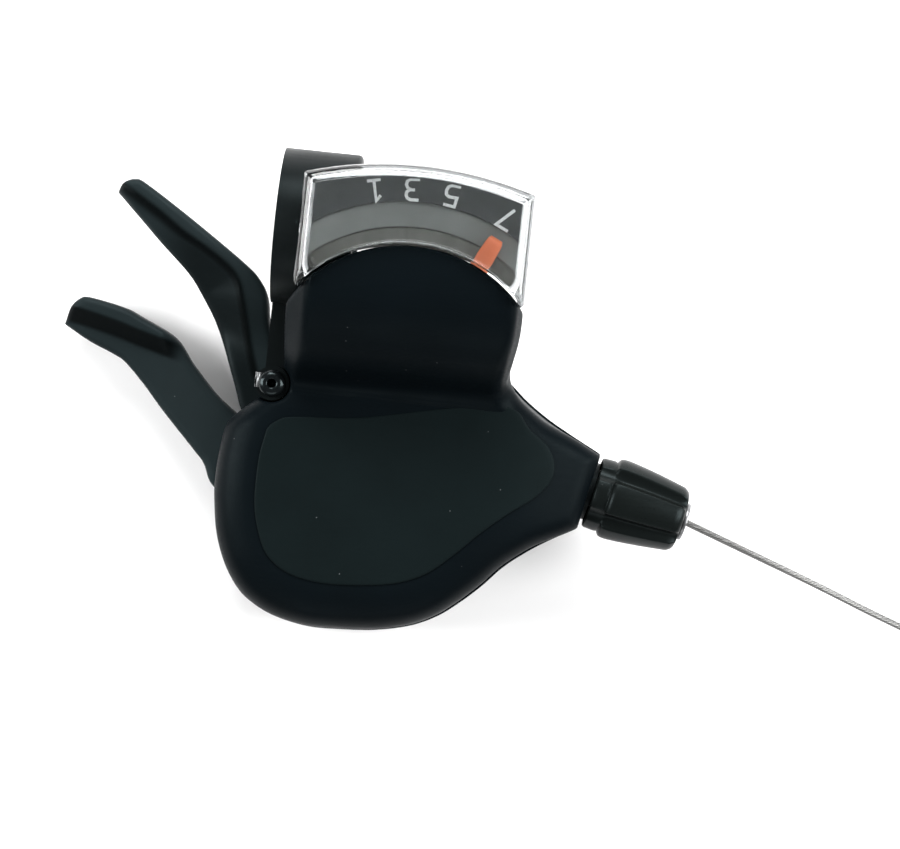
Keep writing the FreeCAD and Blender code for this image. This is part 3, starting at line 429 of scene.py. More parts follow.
def mesh_field(name, field, low, high, voxel):
    """A closed mesh over a field's zero surface: one corner in each cell that the surface crosses."""
    axes = [np.arange(a - voxel, b + 2 * voxel, voxel) for a, b in zip(low, high)]
    grid = [axis.reshape([-1 if i == j else 1 for j in range(3)]) for i, axis in enumerate(axes)]
    shape = tuple(len(axis) for axis in axes)
    value = np.array(np.broadcast_to(field(*grid), shape), np.float32)
    inside = value < 0
    cells = tuple(n - 1 for n in shape)
    total = np.zeros(cells + (3,), np.float32)
    count = np.zeros(cells, np.float32)

    def part(array, offset):
        return array[tuple(slice(o, n + o) for o, n in zip(offset, cells))]

    for axis in range(3):
        others = [i for i in range(3) if i != axis]
        for a in (0, 1):
            for b in (0, 1):
                near = [0, 0, 0]
                near[others[0]], near[others[1]] = a, b
                far = list(near)
                far[axis] = 1
                first, second = part(value, near), part(value, far)
                crossed = part(inside, near) != part(inside, far)
                share = np.where(crossed, first / np.where(crossed, first - second, 1), 0)
                for i in range(3):
                    total[..., i] += crossed * (share if i == axis else near[i])
                count += crossed
    active = count > 0
    number = np.full(cells, -1, np.int64)
    number[active] = np.arange(active.sum())
    place = np.argwhere(active) + total[active] / count[active][:, None]
    points = np.array([axis[0] for axis in axes]) + place * voxel
    faces = []
    for axis in range(3):
        u, v = (axis + 1) % 3, (axis + 2) % 3
        lower = [slice(1, n - 1) for n in shape]
        lower[axis] = slice(0, shape[axis] - 1)
        upper = list(lower)
        upper[axis] = slice(1, shape[axis])
        starts, ends = inside[tuple(lower)], inside[tuple(upper)]
        at = np.argwhere(starts != ends)
        forward = starts[tuple(at.T)]
        at[:, u] += 1
        at[:, v] += 1
        around = []
        for step_u, step_v in ((-1, -1), (0, -1), (0, 0), (-1, 0)):
            cell = at.copy()
            cell[:, u] += step_u
            cell[:, v] += step_v
            around.append(number[tuple(cell.T)])
        quads = np.stack(around, 1)
        quads[~forward] = quads[~forward][:, ::-1]
        faces.append(quads)
    faces = np.concatenate(faces)
    points = polished(field, points, 3, 0.5 * voxel)
    mesh = bpy.data.meshes.new(name)
    mesh.from_pydata((points * MM).tolist(), [], faces.tolist())
    return smoothed(mesh)


def smoothed(mesh):
    mesh.validate()
    mesh.polygons.foreach_set("use_smooth", [True] * len(mesh.polygons))
    mesh.update()
    return mesh


def ring_mesh(name, rings, closed=True):
    """A skin over rings of equally many points. The last ring joins the first, or else both ends get caps."""
    count = len(rings[0])
    points = [point for ring in rings for point in ring]
    faces = []
    pairs = list(zip(range(len(rings)), range(1, len(rings))))
    if closed:
        pairs.append((len(rings) - 1, 0))
    for a, b in pairs:
        for i in range(count):
            after = (i + 1) % count
            faces.append((a * count + i, a * count + after, b * count + after, b * count + i))
    if not closed:
        faces.append(tuple(range(count))[::-1])
        faces.append(tuple(range((len(rings) - 1) * count, len(rings) * count)))
    mesh = bpy.data.meshes.new(name)
    mesh.from_pydata([tuple(MM * part for part in point) for point in points], [], faces)
    return smoothed(mesh)


def crisp(piece, degrees=35):
    """Keeps the shading of faces that meet at more than an angle apart."""
    with bpy.context.temp_override(object=piece, selected_editable_objects=[piece],
                                   active_object=piece):
        bpy.ops.object.shade_auto_smooth(angle=math.radians(degrees))


# ---------------------------------------------------------------- covers

POD_CURVE = [
    (50.6, -47.3), (45.8, -50.1), (42.3, -52.4), (38.3, -55.6), (34.8, -59.4), (31.0, -62.9),
    (27.4, -65.6), (22.9, -67.7), (16.8, -69.1), (10.7, -69.6), (4.9, -69.7), (-0.9, -68.6),
    (-4.9, -66.8), (-8.0, -64.4), (-10.8, -60.3), (-12.8, -55.3), (-13.8, -50.1), (-14.2, -45.4),
    (-13.9, -39.6), (-13.0, -34.9), (-10.4, -32.0), (-6.4, -28.4), (-3.0, -23.6), (1.0, -20.2),
    (7.0, -19.2), (26.0, -19.2), (32.4, -20.2), (36.4, -23.4), (39.4, -26.0), (43.6, -28.9),
    (48.7, -31.7), (53.4, -34.1),
]
PLATEAU = [
    (-5.2, -35.6), (-3.5, -33.8), (-0.8, -32.9), (9.0, -32.1), (15.4, -30.9), (26.0, -28.6),
    (34.5, -27.4), (37.9, -28.0), (40.2, -30.7), (43.8, -33.5), (45.3, -36.7), (44.9, -39.5),
    (42.4, -42.6), (38.0, -45.9), (33.7, -49.6), (29.5, -53.8), (25.2, -57.5), (20.3, -59.7),
    (13.9, -60.8), (6.9, -61.1), (1.1, -60.0), (-2.9, -57.2), (-5.0, -52.7), (-6.0, -48.1),
    (-6.1, -42.5), (-5.8, -38.7),
]
# Neck sections: distance along Y, crest level, left crest and foot, right crest and foot.
NECK = np.array([
    (-28.4, -1.0, -2.2, -2.5, 34.2, 35.4), (-25.8, 3.2, -1.6, -3.0, 34.0, 35.4),
    (-23.2, 8.4, -0.8, -3.3, 33.9, 35.4), (-20.0, 12.6, -0.2, -3.4, 34.6, 36.0),
    (-15.5, 15.9, 0.0, -3.5, 35.3, 36.7), (-10.0, 17.8, 0.0, -3.5, 35.4, 36.8),
    (-1.0, 18.8, 0.0, -3.5, 35.4, 36.8),
])
COVER_WALL = 1.8
FACET_DROP = 5.0
SCREWS = [(33.0, -55.5), (18.0, -66.2), (24.0, -22.5)]
POST_RADIUS = 2.5

pod_distance = outline_distance(np.vstack([smooth_run(POD_CURVE)]))
plateau_distance = outline_distance(smooth_loop(PLATEAU))
neck_line = [table(NECK[:, 0], NECK[:, i]) for i in range(1, 6)]


def pod_crest(x, y):
    """Level of the pod's top: a shallow dome round the plateau, falling away to the barrel."""
    away = np.maximum(plateau_distance(x, y), 0)
    dome = 0.9 - 0.052 * away**2
    return blend_min(dome, 1.2 - 0.355 * (x - 37.0), 3.0)


def pod_field(x, y, z):
    crest = pod_crest(x, y)
    draft = 0.05 * (1 - rise(x, 42, 50))
    wall = pod_distance(x, y) + draft * (z - PARTING)
    return blend_max(wall, 0.95 * (z - crest), 3.0)


def neck_field(x, y, z):
    level, left, left_foot, right, right_foot = [line(y) for line in neck_line]
    slope = (neck_line[0](y + 0.1) - neck_line[0](y - 0.1)) / 0.2
    level = level - 0.0016 * (x - 17.0)**2
    drop = np.clip((level - z) / FACET_DROP, 0, 1)
    top = (z - level) / np.sqrt(1 + slope**2)
    left_side = (left + (left_foot - left) * drop - x) * 0.82
    right_side = (x - right - (right_foot - right) * drop) * 0.95
    neck = blend_max(blend_max(top, left_side, 0.9), right_side, 1.4)
    neck = blend_max(neck, 12.4 - np.hypot(y, z), 0.8)
    return np.maximum(np.maximum(neck, -6.0 - z), -30.0 - y)


def band_room(x, y, z):
    return np.maximum(np.hypot(y, z) - BAND_ROOM, np.abs(x) - BAND_HALF)


def arm_room(x, y, z):
    """Where the bracket's arm, its cable port and the clamp band pass the upper cover."""
    passage = block(x, y, z, (-BAND_HALF, -32, -9.7), (BAND_HALF, -8, -3.0))
    port = np.maximum(np.hypot(x - PORT[0], y - PORT[1]) - 3.3, np.maximum(-9.6 - z, z - 1))
    return np.minimum(np.minimum(passage, port), band_room(x, y, z))


def lever_room(x, y, z, start, end, low, high):
    """A window between two angles about the lever axle, outside the moving stack."""
    reach = np.hypot(x - AXLE[0], y - AXLE[1])
    angle = np.degrees(np.arctan2(y - AXLE[1], x - AXLE[0])) % 360
    turn = np.radians(np.maximum(start - angle, angle - end)) * reach
    return np.maximum(np.maximum(turn, 21.1 - reach), np.maximum(low - z, z - high))


def top_cover_field(x, y, z):
    body = blend_min(pod_field(x, y, z), neck_field(x, y, z), 3.2)
    shell = blend_max(body, -(body + COVER_WALL), 0.3)
    for post_x, post_y in SCREWS:
        across = np.hypot(x - post_x, y - post_y)
        shell = np.minimum(shell, np.maximum(np.maximum(across - POST_RADIUS, body + 0.9), -14 - z))
        shell = np.maximum(shell, np.minimum(1.2 - across, -6 - z))
    open_end = np.minimum(np.hypot(x - NEEDLE[0], y - NEEDLE[1]) - WINDOW_RADIUS, y + 18.9)
    shell = blend_max(shell, open_end, 0.4)
    radius, along = barrel_radius(x, y, z)
    barrel_hole = np.maximum(radius - 5.3, -15 - along)
    rooms = np.minimum(arm_room(x, y, z), lever_room(x, y, z, 117, 172, -18.4, -12.6))
    shell = blend_max(shell, -np.minimum(rooms, barrel_hole), 0.4)
    return blend_max(shell, PARTING + 0.05 - z, 0.3)


def lower_outer(x, y, z):
    """Outside of the lower cover: flat underneath, rising in two slopes under the barrel."""
    wall = pod_distance(x, y) - 0.4
    heel = np.minimum(-18.6 - 0.19 * (54 - x) - z, 0.64 * (-28 + 0.83 * (x - 35) - z))
    return blend_max(blend_max(wall, FLOOR - z, 1.4), heel, 1.6)


def bottom_cover_field(x, y, z):
    outer = lower_outer(x, y, z)
    tub = np.maximum(outer, -(outer + COVER_WALL + 0.4))
    for post_x, post_y in SCREWS:
        across = np.hypot(x - post_x, y - post_y)
        tub = np.minimum(tub, np.maximum(across - POST_RADIUS, outer + 0.5))
        tub = np.maximum(tub, 1.3 - across)
        tub = np.maximum(tub, np.minimum(2.35 - across, FLOOR + 2.1 - z))
    radius, along = barrel_radius(x, y, z)
    barrel_hole = np.maximum(radius - 5.3, -15 - along)
    rooms = np.minimum(lever_room(x, y, z, 153, 232, -24.0, -18.2),
                       lever_room(x, y, z, 117, 172, -18.4, -10))
    tub = blend_max(tub, -np.minimum(rooms, barrel_hole), 0.4)
    return blend_max(tub, z - PARTING + 0.05, 0.4)


def make_panel():
    """The plateau: a crisp raised panel that follows the pod's dome."""
    edge = smooth_loop(PLATEAU, 8)
    centre = np.array([18.0, -45.0])
    reach = np.linalg.norm(edge - centre, axis=1, keepdims=True)
    rings = []
    for inset, lift in ((0, -0.5), (0, 0.16), (0.12, 0.26), (0.35, 0.3)):
        ring = edge + (centre - edge) * inset / reach
        rings.append([(x, y, z + lift) for (x, y), z in zip(ring, pod_crest(*ring.T))])
    for share in np.linspace(0.96, 0.02, 24):
        ring = centre + (edge - centre) * share
        rings.append([(x, y, z + 0.3) for (x, y), z in zip(ring, pod_crest(*ring.T))])
    back = [(x, y, z - 0.9) for x, y, z in rings[-1]]
    rim = [(x, y, z - 0.4) for x, y, z in rings[0]]
    return ring_mesh("CoverPanel", [back, rim] + rings, closed=False)


def make_covers():
    black = moulded("CoverPlastic", (0.0020, 0.0034, 0.0044), 0.40, sheen=0.03)
    voxel = 0.52
    mesh = mesh_field("TopCover", top_cover_field, (-15, -71, -16.5), (55, 0, 20), voxel)
    cover = add_piece(bpy.data.objects.new("TopCover", mesh), "housing", black)
    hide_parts("top_cover")
    panel = bpy.data.objects.new("CoverPanel", make_panel())
    add_piece(panel, "housing", moulded("PanelPlastic", (0.0038, 0.0064, 0.0068), 0.48, sheen=0.03))
    crisp(panel, 30)
    mesh = mesh_field("BottomCover", bottom_cover_field, (-15, -71, -28.2), (55, -18, -15.8), voxel)
    tub = add_piece(bpy.data.objects.new("BottomCover", mesh), "housing", black)
    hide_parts("bottom_cover")


# ---------------------------------------------------------------- levers

MAIN_UPPER = [(-7.5, -36.6), (-10.4, -34.6), (-13.9, -32.2), (-16.8, -29.8), (-20.9, -25.4),
              (-24.6, -21.0), (-31.0, -17.9), (-34.4, -16.5), (-40.7, -15.3), (-42.6, -15.8),
              (-44.1, -17.6), (-45.1, -20.6)]
MAIN_LOWER = [(-45.1, -20.6), (-40.0, -23.3), (-35.8, -25.0), (-33.3, -26.4), (-29.4, -30.2),
              (-25.9, -34.1), (-19.3, -40.8), (-17.2, -43.1), (-15.6, -46.4), (-12.6, -48.6),
              (-7.8, -50.0)]
MAIN_CREASE = [(-50.0, -20.0), (-44.2, -20.1), (-35.8, -21.9), (-31.3, -23.2), (-26.0, -24.6),
               (-20.0, -26.2), (-10.0, -29.0)]
RELEASE_UPPER = [(-3.4, -27.2), (-5.6, -22.6), (-7.4, -16.9), (-8.2, -12.4), (-9.9, -9.4),
                 (-13.0, -6.6), (-22.9, 0.1), (-31.4, 5.4), (-33.6, 6.1), (-35.6, 5.3), (-36.6, 3.5)]
RELEASE_LOWER = [(-36.6, 3.5), (-32.7, -0.2), (-27.9, -4.8), (-22.6, -9.7), (-19.6, -13.8),
                 (-17.3, -17.5), (-15.0, -22.4), (-12.5, -28.7), (-11.1, -32.4), (-9.0, -35.2)]
RELEASE_CREASE = [(-36.0, 5.0), (-29.4, 1.1), (-24.3, -2.4), (-20.0, -4.8), (-15.7, -7.7),
                  (-13.6, -10.3), (-12.0, -15.6), (-10.7, -20.9), (-9.0, -26.0)]


def rise(value, low, high):
    """0 below low, 1 above high, smooth between."""
    share = np.clip((value - low) / (high - low), 0, 1)
    return share * share * (3 - 2 * share)


def lever_outline(upper, lower, inner_radius):
    middle = ((upper[0][0] + lower[-1][0]) / 2 - AXLE[0], (upper[0][1] + lower[-1][1]) / 2 - AXLE[1])
    root = polar(inner_radius, math.degrees(math.atan2(middle[1], middle[0])), AXLE)
    return outline_distance(np.vstack([smooth_run(upper), smooth_run(lower)[1:], [root]]))


def arm_slot(x, y, z, angle, half_width, low, high):
    """Room for a lever's steel plate, pointing out from the axle."""
    east, north = polar(1, angle)
    along = (x - AXLE[0]) * east + (y - AXLE[1]) * north
    aside = (y - AXLE[1]) * east - (x - AXLE[0]) * north
    return np.maximum(np.maximum(along - 31, np.abs(aside) - half_width), np.maximum(low - z, z - high))


main_distance = lever_outline(MAIN_UPPER, MAIN_LOWER, 23.6)
main_crease = table(*np.array(MAIN_CREASE).T)
release_distance = lever_outline(RELEASE_UPPER, RELEASE_LOWER, 24.5)
release_band = outline_distance(np.vstack([smooth_run(RELEASE_CREASE), [(20, -26), (20, 20), (-36, 20)]]))


def main_lever_field(x, y, z):
    """Flat arm that ends in a deeper thumb paddle, with a raised band along the paddle's rider side."""
    fall = 1.7 * rise(-x, 12, 31)
    band = np.clip((y - main_crease(x)) / 3.0, 0, 1) * rise(-x, 23.0, 27.0)
    crest = -18.7 - fall + band * (fall + 0.45)
    crest = crest - 0.018 * np.maximum(-x - 40, 0)**2
    sole = -23.6 - 2.3 * rise(-x, 20, 30) + 0.05 * np.maximum(-x - 41, 0)**2
    side = main_distance(x, y)
    lever = blend_max(blend_max(side, z - crest, 1.5), sole - z, 1.3)
    return np.maximum(lever, -arm_slot(x, y, z, 171.5, 5.5, -21.9, -20.2))


def release_lever_field(x, y, z):
    """Curved blade with a raised band along its rider side, deepest at its rounded tip."""
    outwards = rise(-x, 4, 34)
    high = rise(y, -22, -12)
    crest = -13.2 + 2.0 * high + 1.9 * outwards * high
    below = release_band(x, y)
    crest = crest + 0.9 - rise(y, -26, -17) * (0.5 * np.clip(below, 0, 7.5) + 0.12 * np.maximum(-below, 0))
    crest = crest - 0.05 * np.maximum(-x - 32.5, 0)**2
    sole = -17.7 + 2.2 * rise(y, -19, -10) + 0.04 * np.maximum(-x - 32, 0)**2
    side = release_distance(x, y)
    lever = blend_max(blend_max(side, z - crest, 1.3), sole - z, 1.2)
    return np.maximum(lever, -arm_slot(x, y, z, 146, 4.5, -18.0, -16.4))


def main_painted_shade(x, y):
    """Painted shade along the slope of the paddle's raised band: a dark tone in the base colour where the
    slope falls away from the light. Dark tone painted along the slope of the paddle's raised band: wear
    or shading, which isn't known.
    """
    above = y - main_crease(x)
    return rise(above, -0.4, 0.5) * (1 - rise(above, 2.7, 3.5)) * rise(-x, 22.5, 26)


def release_painted_shade(x, y):
    """Painted shade in the release lever's crease and on its lower face, as a dark tone in the base colour.
    Dark tone painted in the release lever's crease and on its lower face, on the same guess.
    """
    below = release_band(x, y)
    crease = rise(below, -1.0, -0.1) * (1 - rise(below, 0.4, 2.0))
    return np.maximum(crease, 0.7 * rise(below, 0, 1.5) * rise(x, -31, -21))


def make_levers():
    # The lever plastic carries painted shade from each lever's vertex attribute.
    grip = moulded("LeverPlastic", (0.0105, 0.0155, 0.0168), 0.42, grain=0.45, darker_tone=True)
    voxel = 0.36
    for name, field, darker_tone, low, high in (
        ("main_lever", main_lever_field, main_painted_shade, (-46, -51, -26.2), (-6, -14, -17)),
        ("release_lever", release_lever_field, release_painted_shade, (-38, -36, -18.2), (-2, 8, -7.5)),
    ):
        mesh = mesh_field(name + "_skin", field, low, high, voxel)
        points = np.empty(3 * len(mesh.vertices))
        mesh.vertices.foreach_get("co", points)
        x, y, _ = points.reshape(-1, 3).T / MM
        # Painted shade: each vertex stores how far its base colour is darkened on the levers' shaded slopes
        # and crease.
        mesh.attributes.new(PAINTED_SHADE_ATTRIBUTE, "FLOAT", "POINT").data.foreach_set("value", darker_tone(x, y))
        lever = add_piece(bpy.data.objects.new(name + "_skin", mesh), name, grip)
        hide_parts(name)


def make_port():
    """Domed bush in the bracket's cable port, and the bent tab of spring steel that holds it."""
    rings = []
    for reach, level in ((1.35, -3.9), (1.5, -3.8), (1.5, -0.7), (2.35, -0.66), (2.4, -0.4), (2.15, 0.15),
                         (1.5, 0.5), (0.9, 0.55), (0.75, 0.3), (0.75, -3.0)):
        rings.append([(*polar(reach, 15 * step, PORT), level) for step in range(24)])
    bush = bpy.data.objects.new("PortBush", ring_mesh("PortBush", rings, closed=False))
    add_piece(bush, "housing", moulded("BushPlastic", (0.003, 0.0038, 0.0042), 0.2, dust=0.0, sheen=0.22))
    crisp(bush, 40)
    rings = []
    for aside, level in ((-1.9, -0.78), (-2.6, -0.76), (-2.95, -0.9), (-3.05, -1.4), (-3.05, -4.6)):
        x, y = PORT[0] + aside, PORT[1] + 0.4
        inner = (x + (0.35 if aside < -2.7 else 0.0), level + (0.0 if aside < -2.7 else 0.35))
        rings.append([(x, y - 1.3, level), (x, y + 1.3, level), (inner[0], y + 1.3, inner[1]),
                      (inner[0], y - 1.3, inner[1])])
    tab = bpy.data.objects.new("PortTab", ring_mesh("PortTab", rings, closed=False))
    add_piece(tab, "housing", steel("TabSteel", (0.22, 0.225, 0.23), 0.5))
    crisp(tab, 30)


# ---------------------------------------------------------------- barrel adjuster

KNOB_SIDES = 240
GROOVE_PITCH = 72
# Half of a groove's width, as a share of the pitch.
GROOVE_HALF = 0.18
# Where the knob starts to taper, and over what length, along the barrel.
TAPER_START = 4.5
TAPER_LENGTH = 11.9


def revolved(name, profile):
    """A ring about the barrel's axis from its half-section: distance along, radius, depth of its grooves."""
    east, north = polar(1, BARREL_SLOPE)
    rings = []
    for along, radius, grooves in profile:
        ring = []
        for i in range(KNOB_SIDES):
            angle = 2 * math.pi * i / KNOB_SIDES
            reach = radius - grooves * groove_shape(angle)
            aside = reach * math.cos(angle)
            ring.append((BARREL[0] + along * east - aside * north,
                         BARREL[1] + along * north + aside * east,
                         CABLE_LEVEL + reach * math.sin(angle)))
        rings.append(ring)
    return ring_mesh(name, rings)


def groove_shape(angle):
    """Five round grooves between broad lands: 0 on a land, 1 in the middle of a groove."""
    phase = ((math.degrees(angle) - 90) / GROOVE_PITCH) % 1 - 0.5
    if abs(phase) >= GROOVE_HALF:
        return 0.0
    return max(0.0, math.cos(phase * math.pi / (2 * GROOVE_HALF))) ** 0.7


def make_knob():
    profile = [(0.5, 5.5, 0), (0.15, 5.9, 0.2), (0.2, 6.2, 0.45), (0.5, 6.4, 0.6), (2.2, 6.5, 0.7),
               (2.6, 6.5, 0.7), (2.8, 6.4, 0.6), (2.95, 6.4, 0.6), (3.1, 6.75, 0.95), (3.4, 7.1, 1.35),
               (3.9, 7.26, 1.6), (4.6, 7.3, 1.75)]
    for at in np.linspace(5.5, 15.7, 15):
        share = (at - TAPER_START) / TAPER_LENGTH
        profile.append((at, 7.3 - 1.55 * share**1.35, 1.75 - 0.6 * share))
    profile += [(16.2, 5.55, 1.0), (16.5, 5.3, 0.8), (16.7, 4.95, 0.5), (16.8, 4.5, 0.25),
                (16.8, 3.6, 0), (16.7, 3.25, 0), (16.4, 3.1, 0), (12, 3.06, 0), (6.9, 3.06, 0),
                (6.8, 2.65, 0), (5.5, 2.65, 0), (5.4, 3.0, 0), (5.4, 5.2, 0), (5.2, 5.3, 0),
                (1.0, 5.3, 0)]
    knob = bpy.data.objects.new("BarrelKnob", revolved("BarrelKnob", profile))
    add_piece(knob, "adjuster_turn", moulded("KnobPlastic", (0.0040, 0.0052, 0.0050), 0.30, dust=0.3,
                                           sheen=0.09))
    crisp(knob, 40)
    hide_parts("adjuster_knob")


# ---------------------------------------------------------------- indicator

LENS_LOW = 12.0
LENS_WALL = 1.3
# How fast light fades inside the lens's plastic, per metre: clear through a wall, grey along one.
LENS_HAZE = 240.0
# Metres from the needle's pivot at which the dial's tone changes.
TERRACES = (0.0286, 0.0328)
TERRACE_BLUR = 0.0002
NUMERALS = (("1", 102.9), ("3", 92.4), ("5", 81.4), ("7", 64.8))


def lens_outline(front):
    """Plan of the window: bowed back, straight sides, and a front about the needle's pivot or further on."""
    back = [(x, 11.3 - 3.0 * ((x - 17.2) / 19.6)**2) for x in np.linspace(-2.3, 36.7, 24)]
    if front:
        return back + [(36.7, front), (-2.3, front)]
    edge = [(x, NEEDLE[1] + math.sqrt(WINDOW_RADIUS**2 - (x - NEEDLE[0])**2) + 0.05)
            for x in np.linspace(34.9, 0.1, 30)]
    return back + [(36.7, -10.2), (36.2, -10.7)] + edge + [(-1.8, -10.7), (-2.3, -10.2)]


lens_distance = outline_distance(lens_outline(None))
lens_long_distance = outline_distance(lens_outline(-30.0))


def lens_field(x, y, z):
    top = z - (20.2 - 0.0011 * (x - 17.2)**2 - 0.0022 * (y + 1)**2)
    outer = np.maximum(blend_max(lens_distance(x, y), top, 2.2), LENS_LOW - z)
    hollow = blend_max(lens_long_distance(x, y) + LENS_WALL, top + LENS_WALL, 1.2)
    return np.maximum(blend_max(outer, -hollow, 0.3), -band_room(x, y, z))


def make_lens():
    shader = Shader("ClearLens", (0.97, 0.985, 0.99), 0.03, Transmission_Weight=1.0, IOR=1.5)
    smear = shader.ramp(shader.noise(5, 3, (1, 3, 1)), 0.45, 0.75, 0.02, 0.10)
    shader.roughness(smear)
    haze = shader.nodes.new("ShaderNodeVolumeAbsorption")
    haze.inputs["Color"].default_value = (0.30, 0.315, 0.32, 1)
    haze.inputs["Density"].default_value = LENS_HAZE
    shader.links.new(haze.outputs[0], shader.nodes["Material Output"].inputs["Volume"])
    voxel = 0.4
    mesh = mesh_field("Lens", lens_field, (-3, -11.5, 11.8), (37.5, 12, 20.6), voxel)
    lens = add_piece(bpy.data.objects.new("Lens", mesh), "housing", shader.material)
    crisp(lens, 40)
    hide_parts("indicator_lens")


def dial_material():
    """Grey dial whose terraces step in tone with their distance from the needle's pivot."""
    shader = Shader("DialPlastic", (0.3, 0.3, 0.3), 0.5)
    split = shader.node("SeparateXYZ", {"Vector": shader.place})
    flat = shader.node("CombineXYZ", {"X": split.outputs["X"], "Y": split.outputs["Y"]})
    reach = shader.node("VectorMath", {0: flat.outputs[0], 1: (NEEDLE[0] * MM, NEEDLE[1] * MM, 0)},
                        operation="DISTANCE").outputs["Value"]
    mottle = shader.noise(1.6, 3)
    inner = shader.mix(shader.ramp(mottle, 0.35, 0.65), (0.098, 0.1, 0.09), (0.078, 0.08, 0.07))
    middle = shader.mix(shader.ramp(shader.noise(9, 2), 0.35, 0.65), (0.21, 0.22, 0.213),
                        (0.16, 0.17, 0.163))
    outer = shader.mix(shader.ramp(mottle, 0.3, 0.7), (0.052, 0.058, 0.058), (0.042, 0.047, 0.047))
    first, second = TERRACES
    tone = shader.mix(shader.ramp(reach, first, first + TERRACE_BLUR), inner, middle)
    tone = shader.mix(shader.ramp(reach, second, second + TERRACE_BLUR), tone, outer)
    shader.colour(tone)
    shader.bump(mottle, 0.02, 0.4)
    return shader.material


DIGITS = {
    "1": [[(-0.85, 0.9), (0.0, 1.75), (0.0, -1.75)], [(-1.15, -1.75), (1.15, -1.75)]],
    "3": [[(-1.05, 1.75), (0.35, 1.75), (0.85, 1.5), (1.1, 1.0), (1.0, 0.45), (0.55, 0.1), (-0.35, 0.05)],
          [(0.3, 0.05), (0.85, -0.2), (1.15, -0.75), (1.0, -1.35), (0.5, -1.7), (-1.1, -1.75)]],
    "5": [[(1.1, 1.75), (-0.8, 1.75), (-0.9, 0.2), (0.45, 0.3), (1.0, 0.0), (1.15, -0.65),
           (0.95, -1.3), (0.4, -1.7), (-1.1, -1.75)]],
    "7": [[(-1.15, 1.75), (1.15, 1.75), (-0.35, -1.95)]],
}


def stroke_mesh(name, runs, width, height):
    """Flat-ended printed strokes along runs of points, in a digit's own plane."""
    made = bmesh.new()
    for run in runs:
        points = np.array(run)
        along = np.diff(points, axis=0)
        along = along / np.linalg.norm(along, axis=1, keepdims=True)
        before, after = np.vstack([along[:1], along]), np.vstack([along, along[-1:]])
        aside = np.column_stack([-(before + after)[:, 1], (before + after)[:, 0]])
        aside = aside / np.linalg.norm(aside, axis=1, keepdims=True)
        mitre = 1 / np.clip((aside * np.column_stack([-after[:, 1], after[:, 0]])).sum(1), 0.5, 1)
        aside = aside * (mitre * width / 2)[:, None]
        rings = []
        for point, side in zip(points, aside):
            corners = [(*(point - side), 0), (*(point + side), 0),
                       (*(point + side), height), (*(point - side), height)]
            rings.append([made.verts.new([MM * part for part in corner]) for corner in corners])
        for here, later in zip(rings, rings[1:]):
            for i in range(4):
                made.faces.new((here[i], here[(i + 1) % 4], later[(i + 1) % 4], later[i]))
        made.faces.new(rings[0][::-1])
        made.faces.new(rings[-1])
    bmesh.ops.recalc_face_normals(made, faces=made.faces)
    mesh = bpy.data.meshes.new(name)
    made.to_mesh(mesh)
    made.free()
    return mesh


def make_numerals():
    ink = Shader("NumeralInk", (0.72, 0.74, 0.73), 0.5)
    ink.colour(ink.mix(ink.ramp(ink.noise(0.5, 2), 0.4, 0.7), (0.78, 0.8, 0.79), (0.6, 0.62, 0.61)))
    for digit, angle in NUMERALS:
        text = bpy.data.objects.new("Numeral" + digit,
                                    stroke_mesh("Numeral" + digit, DIGITS[digit], 0.52, 0.05))
        text.location = [MM * part for part in (*polar(34.9, angle, NEEDLE), 14.41)]
        text.rotation_euler = (0, 0, math.radians(angle + 90))
        add_piece(text, "housing", ink.material)


def make_dial_step(material):
    """Lowest terrace of the dial, along the front of the window."""
    rings = []
    for angle in np.linspace(50.5, 129.5, 60):
        rings.append([(*polar(reach, angle, NEEDLE), level)
                      for reach, level in ((25.9, 13.66), (28.75, 13.66), (28.75, 13.8), (25.9, 13.8))])
    step = bpy.data.objects.new("DialStep", ring_mesh("DialStep", rings, closed=False))
    add_piece(step, "housing", material)
    crisp(step, 40)


def make_needle_flag(orange):
    """Broad end of the needle, the part that shows over the dial."""
    heading = 90 - NEEDLE_REST
    east, north = polar(1, heading)
    rings = []
    for reach, half, thick in ((24.3, 1.15, 0.3), (24.8, 1.5, 0.75), (25.4, 1.68, 0.9),
                               (30.0, 1.42, 0.9), (30.7, 1.3, 0.8), (31.0, 1.0, 0.4)):
        base = 14.75 + 0.05 * (reach - 24)
        corners = [(-half, 0.1), (-half + 0.2, 0), (half - 0.2, 0), (half, 0.1),
                   (half, thick - 0.2), (half - 0.25, thick), (-half + 0.25, thick), (-half, thick - 0.2)]
        rings.append([(NEEDLE[0] + reach * east - aside * north, NEEDLE[1] + reach * north + aside * east,
                       base + up) for aside, up in corners])
    flag = bpy.data.objects.new("NeedleFlag", ring_mesh("NeedleFlag", rings, closed=False))
    add_piece(flag, "needle", orange)
    crisp(flag, 40)


# ---------------------------------------------------------------- pieces kept from the CAD

def dress(name, material, edge_mm=0.15):
    """Gives a CAD piece its finish and small rounded edges."""
    piece = NODES[name]
    piece.data.materials.clear()
    piece.data.materials.append(material)
    weld = piece.modifiers.new("Weld", "WELD")
    weld.merge_threshold = 2e-6
    if edge_mm:
        bevel = piece.modifiers.new("Edges", "BEVEL")
        bevel.width = edge_mm * MM
        bevel.segments = 2
        bevel.limit_method = "ANGLE"
        bevel.angle_limit = math.radians(38)
        bevel.harden_normals = False


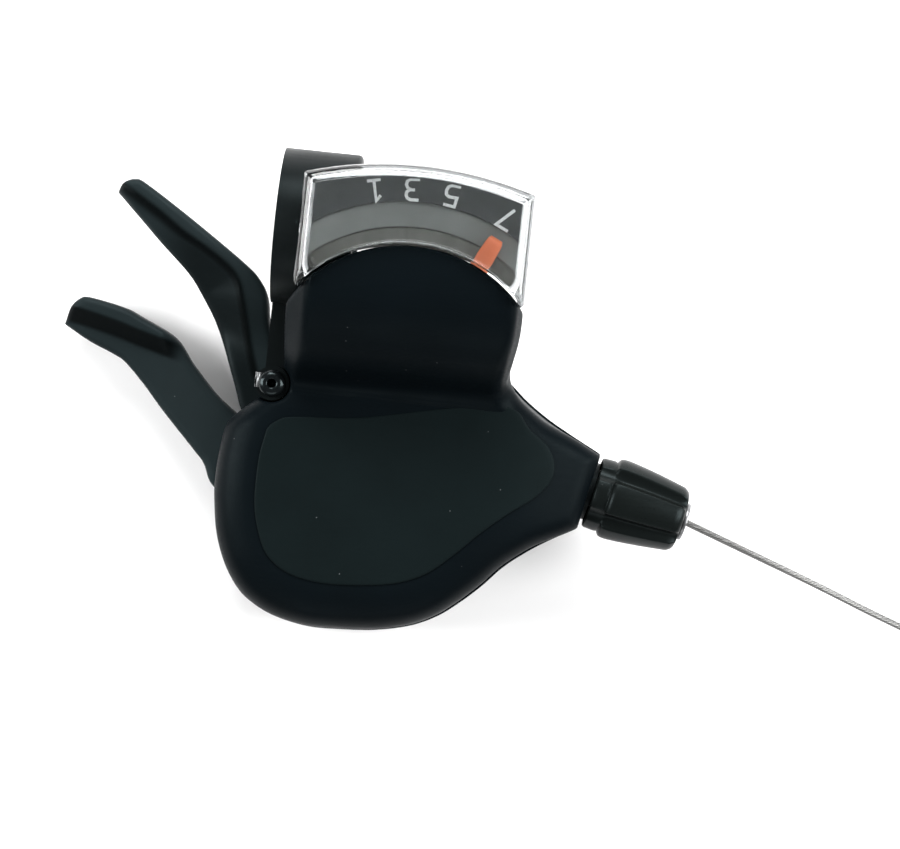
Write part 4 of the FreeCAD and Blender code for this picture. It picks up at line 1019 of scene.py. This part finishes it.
def dress_cad():
    orange = moulded("NeedlePlastic", (0.86, 0.23, 0.105), 0.4, grain=0.25, dust=0.0, sheen=0.3)
    zinc = steel("ZincPlate", (0.60, 0.61, 0.63), 0.3)
    stamped = steel("StampedSteel", (0.50, 0.505, 0.51), 0.36, 0.4, (6, 1, 1))
    oxide = steel("BlackOxide", (0.045, 0.046, 0.05), 0.38)
    spring = steel("SpringWire", (0.36, 0.36, 0.37), 0.28, 0.2)
    acetal = moulded("Acetal", (0.55, 0.54, 0.50), 0.4, dust=0.0, sheen=0.3)
    cast = moulded("BracketPaint", (0.0040, 0.0052, 0.0054), 0.36, grain=0.5, sheen=0.07)
    stem = moulded("StemPlastic", (0.01, 0.0105, 0.011), 0.45, dust=0.0)
    tray = moulded("TrayPlastic", (0.03, 0.032, 0.032), 0.5, dust=0.0)
    turned = steel("TurnedAluminium", (0.24, 0.243, 0.248), 0.34, 0.15)
    dial = dial_material()
    make_dial_step(dial)
    tie = moulded("TiePlastic", (0.006, 0.006, 0.0065), 0.45, dust=0.0)
    for material, edge, names in (
        (cast, 0.35, ["clamp_bracket"]),
        (oxide, 0.2, ["clamp_bolt", "cover_screws"]),
        (zinc, 0.2, ["clamp_nut", "axle_nut", "main_axle", "needle_pivot_pin", "plate_standoffs",
                     "feed_pawl_pin", "hold_pawl_pin"]),
        (zinc, 0.05, ["axle_washer", "drum_washer"]),
        (stamped, 0.12, ["base_plate", "main_lever_plate", "release_lever_plate", "ratchet_plate",
                         "feed_pawl", "hold_pawl", "needle_link"]),
        (spring, 0, ["drum_spring", "main_lever_spring", "release_lever_spring", "hold_pawl_spring",
                     "feed_pawl_spring", "adjuster_spring"]),
        (acetal, 0.2, ["cable_drum"]),
        (zinc, 0.1, ["cable_head", "shift_wire_inner"]),
        (stem, 0.1, ["adjuster_stem"]),
        (turned, 0.2, ["adjuster_insert"]),
        (tray, 0.1, ["indicator_tray"]),
        (tie, 0.1, ["coil_tie"]),
        (dial, 0.12, ["indicator_dial"]),
        (orange, 0.15, ["indicator_needle"]),
    ):
        for name in names:
            dress(name, material, edge)
    return orange


make_camera()
make_studio()
make_wire()
make_covers()
make_levers()
make_port()
make_knob()
make_lens()
make_numerals()
make_needle_flag(dress_cad())
